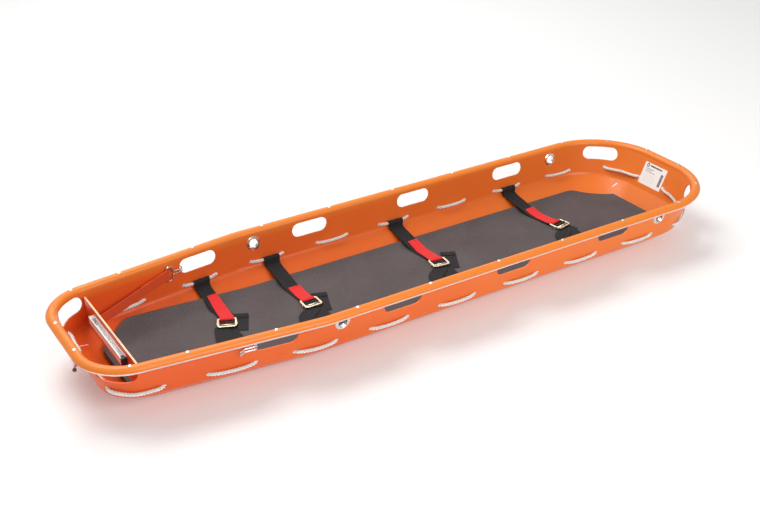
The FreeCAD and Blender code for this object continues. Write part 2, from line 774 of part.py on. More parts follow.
def pad_corners(x, base_z):
    """Left half of the mat's section: floor edge, outer edge, its top, and the inner top."""
    floor_half = floor_half_width(x) - PAD_CLEARANCE - PAD_EDGE_GAP
    slope = math.atan((KNEE_Z - FLOOR_Z) / (SIDE_INSETS[2] - SIDE_INSETS[1]))
    on_slope = max(pad_flat_half_width(x) - floor_half, 1.0)
    edge_y = floor_half + on_slope * math.cos(slope)
    edge_z = base_z + on_slope * math.sin(slope)
    lean_y = PAD_THICKNESS * math.sin(slope)
    lean_z = PAD_THICKNESS * math.cos(slope)
    return [
        Vector(x, floor_half, base_z),
        Vector(x, edge_y, edge_z),
        Vector(x, edge_y - lean_y, edge_z + lean_z),
        Vector(x, floor_half - PAD_THICKNESS * math.tan(slope / 2), base_z + PAD_THICKNESS),
    ]


def mattress_pad():
    """Mat with clipped corners; its ends turn up the foot and head slopes."""
    base = FLOOR_Z + SHELL_WALL + PAD_CLEARANCE
    levels = [(PAD_OUTLINE[0][0], base + PAD_FOOT_RISE)]
    for x in PAD_STATIONS:
        levels.append((x, base))
    levels.append((PAD_OUTLINE[-1][0], base + PAD_HEAD_RISE))
    sections = []
    for x, base_z in levels:
        left = pad_corners(x, base_z)
        right = [Vector(p.x, -p.y, p.z) for p in reversed(left)]
        sections.append(Part.makePolygon(left + right + [left[0]]))
    return Part.makeLoft(sections, True, True)


# ---------------------------------------------------------------- patient restraint straps


def band(points, thickness, across, width):
    """Flat webbing of even thickness along a route, extruded across its width."""
    axis = Vector(*across)
    edges_left = []
    edges_right = []
    for index, here in enumerate(points):
        before = points[max(index - 1, 0)]
        after = points[min(index + 1, len(points) - 1)]
        back = (here - before).normalize() if index else (after - here).normalize()
        ahead = (after - here).normalize() if index < len(points) - 1 else back
        normal = axis.cross((back + ahead).normalize())
        stretch = thickness / 2 / max(axis.cross(back).dot(normal), 0.3)
        edges_left.append(here + normal * stretch)
        edges_right.append(here - normal * stretch)
    outline = edges_left + list(reversed(edges_right))
    face = Part.Face(Part.makePolygon(outline + [outline[0]]))
    face.translate(axis * (-width / 2))
    return face.extrude(axis * width)


def loop_round(centre, across, width, rod, gap, thickness, slack=Vector(0, 0, 0)):
    """Sewn webbing loop round a rod; slack stretches it into an oblong."""
    axis = Vector(*across)
    start = centre - axis * (width / 2)
    inner = rod + gap
    solids = []
    for radius in (inner + thickness, inner):
        solid = Part.makeCylinder(radius, width, start, axis)
        if slack.Length > 0:
            far = Part.makeCylinder(radius, width, start + slack, axis)
            side = slack.cross(axis).normalize() * radius
            corners = [start + side, start + slack + side, start + slack - side, start - side]
            middle = Part.Face(Part.makePolygon(corners + [corners[0]])).extrude(axis * width)
            solid = solid.multiFuse([far, middle])
        solids.append(solid)
    return solids[0].cut(solids[1])


def strap_heights():
    """Height of the lower webbing layer and of the tab on it, over the pad."""
    pad_top = FLOOR_Z + SHELL_WALL + PAD_CLEARANCE + PAD_THICKNESS
    webbing = pad_top + 0.7 + STRAP_THICKNESS / 2
    tab = webbing + STRAP_THICKNESS / 2 + 0.3 + TAB_THICKNESS / 2
    return webbing, tab


def strap_route(x, lift):
    """Points of the webbing over the turned-up edge of the pad, from the wall side inwards."""
    base = FLOOR_Z + SHELL_WALL + PAD_CLEARANCE
    edge, inner = pad_corners(x - STRAP_WIDTH / 2, base)[2:]
    up_slope = (edge - inner).normalize()
    normal = Vector(0, -up_slope.z, up_slope.y)
    raise_by = strap_heights()[0] + lift - base - PAD_THICKNESS
    high = edge + up_slope * 6.0 + normal * raise_by
    turn = up_slope.getAngle(Vector(0, 1, 0))
    low_y = inner.y - raise_by * math.tan(turn / 2)
    return [Vector(x, high.y, high.z), Vector(x, low_y, strap_heights()[0] + lift)]


def wall_end_points(x):
    """Rope centre at the wall, and the route of the webbing from there onto the pad."""
    rope = wall_place("side", x, ROPE_Z, -ROPE_INSIDE_GAP)
    start = Vector(x, rope.y - ROPE_RADIUS - 0.4 - STRAP_THICKNESS / 2, ROPE_Z - 4.0)
    return rope, [start] + strap_route(x, 0.0)


def buckle_point(strap, across, along, z):
    """Point given across and along a buckle that is turned on the pad."""
    turn = math.radians(strap[5])
    return Vector(strap[3] + across * math.cos(turn) - along * math.sin(turn),
                  strap[4] + across * math.sin(turn) + along * math.cos(turn), z)


def flat_webbing(corners, thickness):
    """Flat strip of webbing from the corners of its middle plane."""
    face = Part.Face(Part.makePolygon(corners + [corners[0]]))
    face.translate(Vector(0, 0, -thickness / 2))
    return face.extrude(Vector(0, 0, thickness))


def straight_to_buckle(strap, wall_x, low_y, z, side, inner_y):
    """Webbing from the pad's edge to a buckle, then straight on between its cheeks."""
    half = STRAP_WIDTH / 2
    tucked = BUCKLE_HALF_WIDTH - CHEEK_WALL - 0.4
    mouth = [buckle_point(strap, across, side * BUCKLE_APPROACH, z) for across in (tucked, -tucked)]
    run = [Vector(wall_x - half, low_y, z), Vector(wall_x + half, low_y, z)] + mouth
    inside = [buckle_point(strap, across, inner_y, z) for across in (-tucked, tucked)]
    return flat_webbing(run, STRAP_THICKNESS).fuse(flat_webbing(mouth + inside, STRAP_THICKNESS))


def rod_loop(strap, along, slack):
    """Sewn end of the webbing round a rod of a turned buckle."""
    turn = FreeCAD.Rotation(Vector(0, 0, 1), strap[5])
    centre = buckle_point(strap, 0.0, along, buckle_height())
    way = turn.multVec(Vector(1, 0, 0))
    return loop_round(centre, way, TAB_WIDTH, BUCKLE_ROD, 0.3, STRAP_THICKNESS, turn.multVec(slack))


def strap_far(strap):
    """Left webbing: looped round the rope, down over the pad to the buckle's far rod."""
    x = strap[0]
    rope, route = wall_end_points(x)
    turn = strap_turn(x)
    loop = loop_round(rope, turn, STRAP_WIDTH, ROPE_RADIUS, 0.4, STRAP_THICKNESS)
    body = band(route, STRAP_THICKNESS, (1, 0, 0), STRAP_WIDTH)
    run = straight_to_buckle(strap, x, route[-1].y, route[-1].z, 1, BUCKLE_FAR_Y)
    end = rod_loop(strap, BUCKLE_FAR_Y, Vector(0, 0, 0))
    return loop.multiFuse([body, run, end]).cut(rope_clearance(rope, turn))


def strap_turn(x):
    """Direction of the rope in plan where a strap is looped round it."""
    if x > RIM_BEND_X:
        return (1.0, 0.0, 0.0)
    return (math.cos(TAPER), math.sin(TAPER), 0.0)


def rope_clearance(rope, turn):
    """Room for the rope inside a webbing loop."""
    axis = Vector(*turn)
    return Part.makeCylinder(ROPE_RADIUS + 0.4, 2 * STRAP_WIDTH, rope - axis * STRAP_WIDTH, axis)


def strap_near(strap):
    """Right webbing: looped round the rope, over the pad, round the buckle's sliding bar."""
    x = strap[1]
    rope, route = wall_end_points(x)
    turn = strap_turn(x)
    loop = loop_round(rope, turn, STRAP_WIDTH, ROPE_RADIUS, 0.4, STRAP_THICKNESS)
    body = band(route, STRAP_THICKNESS, (1, 0, 0), STRAP_WIDTH)
    wall_end = mirrored(loop.fuse(body).cut(rope_clearance(rope, turn)))
    run = straight_to_buckle(strap, x, -route[-1].y, route[-1].z, -1, BUCKLE_BAR_Y)
    end = rod_loop(strap, BUCKLE_BAR_Y, Vector(0, -BUCKLE_TRAVEL, 0))
    return wall_end.multiFuse([run, end])


def strap_tab(strap):
    """Red tab sewn on the left webbing, from its tip to just short of the buckle."""
    x, reach = strap[0], strap[2]
    webbing_z, tab_z = strap_heights()
    high, low = strap_route(x, tab_z - webbing_z)
    half = TAB_WIDTH / 2
    end_y = BUCKLE_FAR_Y + BUCKLE_ROD + STRAP_THICKNESS + 1.0
    end = [buckle_point(strap, across, end_y, tab_z) for across in (half, -half)]
    middle = buckle_point(strap, 0.0, BUCKLE_APPROACH, tab_z)
    if reach < low.y:
        part = (low.y - reach) / (low.y - middle.y)
        tip_x = lerp(x, middle.x, part)
        corners = [Vector(tip_x - half, reach, tab_z), Vector(tip_x + half, reach, tab_z)]
        return flat_webbing(corners + end, TAB_THICKNESS)
    part = min((reach - low.y) / (high.y - low.y), 1.0)
    climb = band([low + (high - low) * part, low], TAB_THICKNESS, (1, 0, 0), TAB_WIDTH)
    corners = [Vector(x - half, low.y, tab_z), Vector(x + half, low.y, tab_z)]
    crease = Part.makeCylinder(TAB_THICKNESS / 2, TAB_WIDTH, low - Vector(half, 0, 0), Vector(1, 0, 0))
    return climb.multiFuse([crease, flat_webbing(corners + end, TAB_THICKNESS)])


def buckle_height():
    """Height of the rods of a buckle that lies on the webbing."""
    return strap_heights()[0] + BUCKLE_ROD + STRAP_THICKNESS / 2 + 0.3


def on_pad(shape, strap):
    """Buckle part moved from the origin to its turned place on the pad."""
    shape.Placement = FreeCAD.Placement(Vector(strap[3], strap[4], 0), FreeCAD.Rotation(Vector(0, 0, 1), strap[5]))
    return shape


def buckle_frame(strap):
    """Two side cheeks joined by a round far rod and a flat near bar."""
    rod_z = buckle_height()
    low = rod_z - 4.2
    high = rod_z + 5.5
    far_y = BUCKLE_FAR_Y + 5.0
    near_y = BUCKLE_NEAR_Y - 4.0
    pieces = []
    for side in (-1, 1):
        face_x = side * BUCKLE_HALF_WIDTH - (CHEEK_WALL if side > 0 else 0.0)
        corners = [
            Vector(face_x, near_y, low),
            Vector(face_x, far_y, low),
            Vector(face_x, far_y, high),
            Vector(face_x, near_y, high - 3.0),
        ]
        wire = rounded_wire(corners, [2.5] * 4, closed=True)
        cheek = Part.Face(wire).extrude(Vector(CHEEK_WALL, 0, 0))
        slot = Part.makeBox(CHEEK_WALL + 2, BUCKLE_TRAVEL, 2 * BUCKLE_ROD + 0.1,
                            Vector(face_x - 1, BUCKLE_BAR_Y - BUCKLE_TRAVEL, rod_z - BUCKLE_ROD - 0.05))
        for end_y in (BUCKLE_BAR_Y - BUCKLE_TRAVEL, BUCKLE_BAR_Y):
            slot = slot.fuse(Part.makeCylinder(BUCKLE_ROD + 0.05, CHEEK_WALL + 2,
                                               Vector(face_x - 1, end_y, rod_z), Vector(1, 0, 0)))
        pieces.append(cheek.cut(slot))
    inner = 2 * BUCKLE_HALF_WIDTH - 2 * CHEEK_WALL
    left_x = CHEEK_WALL - BUCKLE_HALF_WIDTH
    pieces.append(Part.makeCylinder(BUCKLE_ROD, inner, Vector(left_x, BUCKLE_FAR_Y, rod_z), Vector(1, 0, 0)))
    bar = Part.makeBox(inner, 6.0, 2.4, Vector(left_x, BUCKLE_NEAR_Y - 3.0, rod_z - 0.4))
    pieces.append(bar)
    return on_pad(pieces[0].multiFuse(pieces[1:]), strap)


def buckle_bar(strap):
    """Sliding lock bar with a button on each end, outside the cheeks."""
    rod_z = buckle_height()
    head = 2.0
    gap = 0.3
    length = 2 * (BUCKLE_HALF_WIDTH + gap + head)
    start = Vector(-length / 2, BUCKLE_BAR_Y, rod_z)
    bar = Part.makeCylinder(BUCKLE_ROD - 0.05, length, start, Vector(1, 0, 0))
    button_radius = BUCKLE_ROD + 1.3
    buttons = []
    for offset in (0.0, length - head):
        place = start + Vector(offset, 0, 0)
        buttons.append(Part.makeCylinder(button_radius, head, place, Vector(1, 0, 0)))
    return on_pad(bar.multiFuse(buttons), strap)


# ---------------------------------------------------------------- foot rest


def rest_half_width(z):
    """Half width of the foot rest at a height, clear of the inner walls."""
    return wall_place("side", REST_FACE_X - REST_THICKNESS, z, 0.0).y - REST_SIDE_GAP


def footrest_plate():
    """Upright board that follows the inner walls and stands clear of the pad."""
    back = REST_FACE_X - REST_THICKNESS
    low = rest_half_width(REST_LOW_Z)
    high = rest_half_width(REST_TOP_Z)
    corners = [
        Vector(back, -low, REST_LOW_Z),
        Vector(back, low, REST_LOW_Z),
        Vector(back, high, REST_TOP_Z),
        Vector(back, -high, REST_TOP_Z),
    ]
    wire = rounded_wire(corners, [24.0, 24.0, 8.0, 8.0], closed=True)
    plate = Part.Face(wire).extrude(Vector(REST_THICKNESS, 0, 0))
    holes = [Part.makeCylinder(RIVET_SHANK + 0.05, 40, place - Vector(20, 0, 0), Vector(1, 0, 0))
             for place in rest_rivet_places()]
    return plate.cut(holes + strap_rivet_drills())


def rest_rivet_places():
    """Rivets through the channel and the board, and through the strap ends."""
    back = REST_FACE_X - REST_THICKNESS
    channel_z = CHANNEL_TOP_Z - CHANNEL_HEIGHT / 2
    places = [Vector(back, y, channel_z) for y in (-48.0, -16.0, 16.0, 48.0)]
    return places


def footrest_channel():
    """Aluminium U channel, open upwards, along the foot side of the board."""
    back = REST_FACE_X - REST_THICKNESS
    width = CHANNEL_WIDTH
    wall = CHANNEL_WALL
    low = CHANNEL_TOP_Z - CHANNEL_HEIGHT
    corners = [
        (back, low), (back, CHANNEL_TOP_Z), (back - wall, CHANNEL_TOP_Z), (back - wall, low + wall),
        (back - width + wall, low + wall), (back - width + wall, CHANNEL_TOP_Z),
        (back - width, CHANNEL_TOP_Z), (back - width, low),
    ]
    outline = [Vector(x, -CHANNEL_HALF_LENGTH, z) for x, z in corners]
    face = Part.Face(Part.makePolygon(outline + [outline[0]]))
    channel = face.extrude(Vector(0, 2 * CHANNEL_HALF_LENGTH, 0))
    holes = []
    for place in rest_rivet_places():
        holes.append(Part.makeCylinder(RIVET_SHANK + 0.05, wall + 2, place - Vector(wall + 1, 0, 0), Vector(1, 0, 0)))
    return channel.cut(holes)


def footrest_end_caps():
    """Rubber plugs in both ends of the channel."""
    back = REST_FACE_X - REST_THICKNESS
    inner = CHANNEL_WIDTH - 2 * CHANNEL_WALL
    low = CHANNEL_TOP_Z - CHANNEL_HEIGHT
    caps = []
    for side in (-1, 1):
        plug_y = side * CHANNEL_HALF_LENGTH - (10.0 if side > 0 else 0.0)
        plug = Part.makeBox(inner - 0.4, 10.0, CHANNEL_HEIGHT - CHANNEL_WALL - 0.2,
                            Vector(back - CHANNEL_WIDTH + CHANNEL_WALL + 0.2, plug_y, low + CHANNEL_WALL + 0.2))
        cover_y = side * CHANNEL_HALF_LENGTH - (0.0 if side > 0 else 7.0)
        cover = Part.makeBox(CHANNEL_WIDTH, 7.0, CHANNEL_HEIGHT, Vector(back - CHANNEL_WIDTH, cover_y, low))
        caps.append(plug.fuse(cover))
    return Part.makeCompound(caps)


def footrest_rivets():
    """Rivets through board and channel: heads on the head side, set ends in the channel."""
    profile = (
        (0.0, -1.8),
        (RIVET_SHANK + 1.2, -1.6),
        (RIVET_SHANK + 1.2, 0.0),
        (RIVET_SHANK, 0.0),
        (RIVET_SHANK, REST_THICKNESS + CHANNEL_WALL),
        (RIVET_HEAD, REST_THICKNESS + CHANNEL_WALL),
        (RIVET_HEAD - 1.5, REST_THICKNESS + CHANNEL_WALL + 1.5),
        (0.0, REST_THICKNESS + CHANNEL_WALL + 1.9),
    )
    solids = []
    for place in rest_rivet_places():
        solids.append(revolved(profile, place - Vector(CHANNEL_WALL, 0, 0), Vector(1, 0, 0)))
    return Part.makeCompound(solids)


def strap_rivet_places():
    """Rivets that hold the left strap's sewn leg to the board, below the channel."""
    middle = REST_STRAP_CORNER_Y - REST_STRAP_LEG / 2
    return [Vector(REST_FACE_X, middle + step, REST_STRAP_Z) for step in (-11.0, 11.0)]


def footrest_strap_rivets():
    """Rivets through both strap legs and the board."""
    profile = (
        (0.0, -REST_THICKNESS - 1.8),
        (RIVET_SHANK + 1.4, -REST_THICKNESS - 1.5),
        (RIVET_SHANK + 1.4, -REST_THICKNESS),
        (RIVET_SHANK, -REST_THICKNESS),
        (RIVET_SHANK, REST_STRAP_THICKNESS),
        (RIVET_HEAD, REST_STRAP_THICKNESS),
        (RIVET_HEAD - 1.5, REST_STRAP_THICKNESS + 1.4),
        (0.0, REST_STRAP_THICKNESS + 1.8),
    )
    solids = [revolved(profile, place, Vector(1, 0, 0)) for place in strap_rivet_places()]
    return Part.makeCompound(solids + [mirrored(s) for s in solids])


def strap_rivet_drills():
    """Holes for the rivets of both foot-rest straps."""
    drills = []
    for place in strap_rivet_places():
        drill = Part.makeCylinder(RIVET_SHANK + 0.05, 40, place - Vector(20, 0, 0), Vector(1, 0, 0))
        drills += [drill, mirrored(drill)]
    return drills


def hook_frame():
    """Foot end of the first left hand hold: inner-face point, along and outward directions."""
    return wall_axes("side", HANDHOLD_X[0] - HANDHOLD_LENGTH / 2, HOOK_Z)


def hook_point(along_by, out_by, up_by):
    """Point given along the wall, outwards and up from the hook\'s hand hold."""
    point, along, out = hook_frame()
    return point + along * along_by + out * out_by + Vector(0, 0, up_by)


def strap_hook():
    """Double-wire hook: wide base for the webbing, twin wires bent through the hand hold."""
    bend = (HOOK_OUTER - HOOK_INNER) / 2
    reach = bend - 4.0
    half = HOOK_PAIR_HALF
    route = [
        hook_point(HOOK_TIP, HOOK_OUTER + 7.0, half - 3.0),
        hook_point(HOOK_STRAIGHT, HOOK_OUTER, half),
        hook_point(reach, HOOK_OUTER, half),
        hook_point(reach, HOOK_INNER, half),
        hook_point(HOOK_NECK, HOOK_INNER, half),
        hook_point(HOOK_SHOULDER, HOOK_INNER, HOOK_BASE_HALF),
        hook_point(HOOK_BASE, HOOK_INNER, HOOK_BASE_HALF),
        hook_point(HOOK_BASE, HOOK_INNER, -HOOK_BASE_HALF),
        hook_point(HOOK_SHOULDER, HOOK_INNER, -HOOK_BASE_HALF),
        hook_point(HOOK_NECK, HOOK_INNER, -half),
        hook_point(reach, HOOK_INNER, -half),
        hook_point(reach, HOOK_OUTER, -half),
        hook_point(HOOK_STRAIGHT, HOOK_OUTER, -half),
        hook_point(HOOK_TIP, HOOK_OUTER + 7.0, -half - 3.0),
    ]
    turn = bend - 0.1
    half_radii = [0.0, 10.0, turn, turn, 4.0, 4.0, 4.0]
    radii = half_radii + list(reversed(half_radii))
    return pipe(rounded_wire(route, radii), HOOK_WIRE, route[0], route[1] - route[0])


def upright_slab(start, end, thickness, height):
    """Upright flat strip of webbing between two points, which may differ in height."""
    up = Vector(0, 0, height / 2)
    side = (end - start).cross(Vector(0, 0, 1)).normalize() * (thickness / 2)
    corners = [start - up - side, end - up - side, end + up - side, start + up - side]
    return Part.Face(Part.makePolygon(corners + [corners[0]])).extrude(side * 2)


def footrest_strap():
    """Left foot-rest webbing: sewn leg flat on the board, then up and out to the hook's base."""
    base = hook_point(HOOK_BASE, HOOK_INNER, 0.0)
    leg_x = REST_FACE_X + REST_STRAP_THICKNESS / 2
    ring = HOOK_WIRE + 0.3 + REST_STRAP_THICKNESS / 2
    corner = Vector(leg_x, REST_STRAP_CORNER_Y, REST_STRAP_Z)
    level_way = Vector(base.x - corner.x, base.y - corner.y, 0).normalize()
    side = Vector(0, 0, 1).cross(level_way)
    target = base - side * ring
    inner_end = Vector(leg_x, REST_STRAP_CORNER_Y - REST_STRAP_LEG, REST_STRAP_Z)
    leg = upright_slab(inner_end, corner, REST_STRAP_THICKNESS, REST_STRAP_WIDTH)
    run = upright_slab(corner, target, REST_STRAP_THICKNESS, REST_STRAP_WIDTH)
    half_up = Vector(0, 0, REST_STRAP_WIDTH / 2)
    fold = Part.makeCylinder(REST_STRAP_THICKNESS / 2, REST_STRAP_WIDTH, corner - half_up)
    loop = loop_round(base, (0, 0, 1), REST_STRAP_WIDTH, HOOK_WIRE, 0.3, REST_STRAP_THICKNESS)
    bore = Part.makeCylinder(HOOK_WIRE + 0.3, 3 * REST_STRAP_WIDTH, base - half_up * 3)
    return leg.multiFuse([fold, run, loop]).cut([bore] + strap_rivet_drills())


# ---------------------------------------------------------------- write the parts

route = rope_points()
radii = tangent_radii(route, 0.45)
print("rope arc radii", [round(r, 1) for r in radii[1:len(radii) // 2 + 1]])
rope_path = rounded_wire(route, radii)
knot = rope_knot(route[0])
rope = pipe(rope_path, ROPE_RADIUS, route[0], route[1] - route[0])
print("rope volume", round(rope.Volume), "section times length",
      round(rope_path.Length * math.pi * ROPE_RADIUS ** 2))

save(basket_shell(route, radii), "basket_shell")
save(rope.cut(knot), "lifeline_rope")
save(knot, "rope_knot")
save(drill_rivets(rim_tube(True)), "rim_tube_foot")
save(drill_rivets(rim_tube(False)), "rim_tube_head")
sleeve = tube_sleeve()
save(sleeve, "tube_sleeve_left")
save(mirrored(sleeve), "tube_sleeve_right")
save(rim_rivets(), "rim_rivets")
for x, end in zip(GROMMET_X, ("foot", "head")):
    eyelet = grommet(x)
    washer = grommet_washer(x)
    save(eyelet, "grommet_" + end + "_left")
    save(mirrored(eyelet), "grommet_" + end + "_right")
    save(washer, "grommet_washer_" + end + "_left")
    save(mirrored(washer), "grommet_washer_" + end + "_right")
save(instruction_label(), "instruction_label")
save(mattress_pad(), "mattress_pad")
for number, strap in enumerate(STRAPS, start=1):
    save(strap_far(strap), "strap_%d_left" % number)
    save(strap_near(strap), "strap_%d_right" % number)
    save(strap_tab(strap), "strap_%d_tab" % number)
    save(buckle_frame(strap), "buckle_%d_frame" % number)
    save(buckle_bar(strap), "buckle_%d_bar" % number)
save(footrest_plate(), "footrest_plate")
save(footrest_channel(), "footrest_channel")
save(footrest_end_caps(), "footrest_end_caps")
save(footrest_rivets(), "footrest_rivets")
save(footrest_strap_rivets(), "footrest_strap_rivets")
for hook, name in ((strap_hook(), "strap_hook"), (footrest_strap(), "footrest_strap")):
    save(hook, name + "_left")
    save(mirrored(hook), name + "_right")
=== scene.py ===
from collections import namedtuple
from itertools import pairwise
from math import atan2, copysign, cos, pi, radians, sin, sqrt, tan

import bpy
from mathutils import Matrix, Vector, noise


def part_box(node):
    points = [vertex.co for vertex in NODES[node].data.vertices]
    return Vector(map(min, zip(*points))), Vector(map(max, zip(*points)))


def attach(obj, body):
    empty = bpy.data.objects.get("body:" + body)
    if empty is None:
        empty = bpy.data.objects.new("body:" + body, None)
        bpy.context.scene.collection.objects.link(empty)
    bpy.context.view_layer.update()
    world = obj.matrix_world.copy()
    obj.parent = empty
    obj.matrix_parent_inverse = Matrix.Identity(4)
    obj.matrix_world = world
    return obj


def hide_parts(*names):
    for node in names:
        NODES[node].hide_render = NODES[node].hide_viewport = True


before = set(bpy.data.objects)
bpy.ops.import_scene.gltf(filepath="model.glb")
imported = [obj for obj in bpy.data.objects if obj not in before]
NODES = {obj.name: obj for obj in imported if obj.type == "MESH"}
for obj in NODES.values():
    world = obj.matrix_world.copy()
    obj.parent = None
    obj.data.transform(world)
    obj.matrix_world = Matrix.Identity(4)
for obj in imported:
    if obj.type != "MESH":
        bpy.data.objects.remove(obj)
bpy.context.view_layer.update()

MM = 0.001
TURN = 2 * pi
UP = Vector((0.0, 0.0, 1.0))
ALONG_X = Vector((1.0, 0.0, 0.0))

# ---------------- camera, light and floor

CAMERA_PLACE = (-1.6806, -2.5750, 1.7914)
CAMERA_HEADING, CAMERA_DOWN, CAMERA_ROLL = 1.0183, 0.5083, -0.0098  # radians, heading from +X towards +Y
CAMERA_LENS, SENSOR_WIDTH = 53.93, 36.0
LIGHTS = (  # name, place, target, size, watts, tint
    ("key", (-0.8, 1.7, 3.9), (0.1, 0.0, 0.1), (3.0, 2.2), 134.0, (1.0, 0.985, 0.96)),
    ("fill", (0.2, -4.2, 2.7), (0.0, 0.1, 0.1), (3.4, 1.6), 116.0, (1.0, 0.99, 0.98)),
    ("rim_light", (1.6, 4.4, 2.6), (0.0, 0.0, 0.15), (4.6, 1.4), 46.0, (1.0, 1.0, 1.0)),
)
WORLD_STRENGTH = 0.36
FLOOR_SPAN, FLOOR_GREY, FLOOR_GLOW = 14.0, 0.80, 0.17


def linked(name, data):
    """A new object in the scene that holds the data."""
    made = bpy.data.objects.new(name, data)
    bpy.context.collection.objects.link(made)
    return made


def add_camera():
    """The camera, looking down along the basket from its near foot corner."""
    ahead = Vector((
        cos(CAMERA_HEADING) * cos(CAMERA_DOWN),
        sin(CAMERA_HEADING) * cos(CAMERA_DOWN),
        -sin(CAMERA_DOWN),
    ))
    right = Vector((sin(CAMERA_HEADING), -cos(CAMERA_HEADING), 0.0))
    above = right.cross(ahead)
    turned_right = right * cos(CAMERA_ROLL) + above * sin(CAMERA_ROLL)
    turned_up = above * cos(CAMERA_ROLL) - right * sin(CAMERA_ROLL)
    data = bpy.data.cameras.new("camera")
    data.lens = CAMERA_LENS
    data.sensor_width = SENSOR_WIDTH
    camera = linked("camera", data)
    rows = Matrix((turned_right, turned_up, -ahead)).transposed().to_4x4()
    camera.matrix_world = Matrix.Translation(CAMERA_PLACE) @ rows
    bpy.context.scene.camera = camera


def add_area_light(name, place, target, size, power, tint):
    """A rectangular light at place, turned to the target."""
    data = bpy.data.lights.new(name, "AREA")
    data.shape = "RECTANGLE"
    data.size = size[0]
    data.size_y = size[1]
    data.energy = power
    data.color = tint
    light = linked(name, data)
    light.location = place
    way = Vector(target) - Vector(place)
    light.rotation_euler = way.to_track_quat("-Z", "Y").to_euler()


def add_studio():
    """The lights, a pale world and a pale floor."""
    bpy.context.scene.view_settings.view_transform = "Standard"
    for light in LIGHTS:
        add_area_light(*light)
    world = bpy.data.worlds.new("studio")
    bpy.context.scene.world = world
    world.use_nodes = True
    backdrop = world.node_tree.nodes["Background"]
    backdrop.inputs["Color"].default_value = (1.0, 1.0, 1.0, 1.0)
    backdrop.inputs["Strength"].default_value = WORLD_STRENGTH
    mesh = bpy.data.meshes.new("floor")
    corners = [(x * FLOOR_SPAN, y * FLOOR_SPAN, 0.0) for x, y in ((-1, -1), (1, -1), (1, 1), (-1, 1))]
    mesh.from_pydata(corners, [], [(0, 1, 2, 3)])
    paper = Paint("paper")
    paper.set(Base_Color=(FLOOR_GREY, FLOOR_GREY, FLOOR_GREY, 1.0), Roughness=0.9)
    paper.set(Emission_Color=(1.0, 1.0, 1.0, 1.0), Emission_Strength=FLOOR_GLOW)
    mesh.materials.append(paper.material)
    linked("floor", mesh)


# ---------------- materials


class Paint:
    """A Principled material and short ways to add nodes to it."""

    def __init__(self, name):
        self.material = bpy.data.materials.new(name)
        self.material.use_nodes = True
        self.tree = self.material.node_tree
        self.shader = self.tree.nodes["Principled BSDF"]
        coordinates = self.tree.nodes.new("ShaderNodeTexCoord")
        self.place = coordinates.outputs["Object"]
        self.uv = coordinates.outputs["UV"]

    def node(self, kind, feeds, **settings):
        """A new node with its settings, and its inputs set or linked."""
        made = self.tree.nodes.new(kind)
        for key, value in settings.items():
            setattr(made, key, value)
        for key, value in feeds.items():
            self.feed(made.inputs[key], value)
        return made

    def feed(self, socket, value):
        """Set a socket to a constant, or link it to an output."""
        if isinstance(value, (int, float, tuple)):
            socket.default_value = value
        else:
            self.tree.links.new(value, socket)

    def set(self, **values):
        """Constants straight on the shader's own sockets."""
        for key, value in values.items():
            self.shader.inputs[key.replace("_", " ")].default_value = value

    def to(self, socket, source):
        self.feed(self.shader.inputs[socket], source)

    def mapped(self, scale, source=None):
        feeds = {"Scale": scale, "Vector": source or self.place}
        return self.node("ShaderNodeMapping", feeds).outputs["Vector"]

    def noise(self, scale, detail=3.0, rough=0.5, vector=None):
        feeds = {"Scale": scale, "Detail": detail, "Roughness": rough, "Vector": vector or self.place}
        return self.node("ShaderNodeTexNoise", feeds).outputs["Fac"]

    def ramp(self, source, stops):
        """Colour from two or more stops of (place, colour)."""
        made = self.node("ShaderNodeValToRGB", {"Fac": source})
        elements = made.color_ramp.elements
        while len(elements) < len(stops):
            elements.new(0.5)
        for element, (place, colour) in zip(elements, stops):
            element.position = place
            element.color = (*colour, 1.0)
        return made.outputs["Color"]

    def levels(self, source, low, high, to_low, to_high):
        """The source's range from low to high stretched to another range."""
        feeds = {"Value": source, "From Min": low, "From Max": high, "To Min": to_low, "To Max": to_high}
        return self.node("ShaderNodeMapRange", feeds).outputs["Result"]

    def maths(self, kind, *values):
        return self.node("ShaderNodeMath", dict(enumerate(values)), operation=kind).outputs["Value"]

    def plus(self, first, second):
        return self.maths("ADD", first, second)

    def times(self, first, second):
        return self.maths("MULTIPLY", first, second)

    def mix(self, share, first, second):
        """Colour from first to second as share goes from 0 to 1."""
        first, second = ((*c, 1.0) if isinstance(c, tuple) else c for c in (first, second))
        return self.node("ShaderNodeMix", {0: share, 6: first, 7: second}, data_type="RGBA").outputs[2]

    def split(self, vector):
        return self.node("ShaderNodeSeparateXYZ", {0: vector}).outputs

    def bump(self, height, strength, distance, under=None):
        """Normals from a height, over those of another bump."""
        feeds = {"Strength": strength, "Distance": distance, "Height": height}
        if under is not None:
            feeds["Normal"] = under
        return self.node("ShaderNodeBump", feeds).outputs["Normal"]


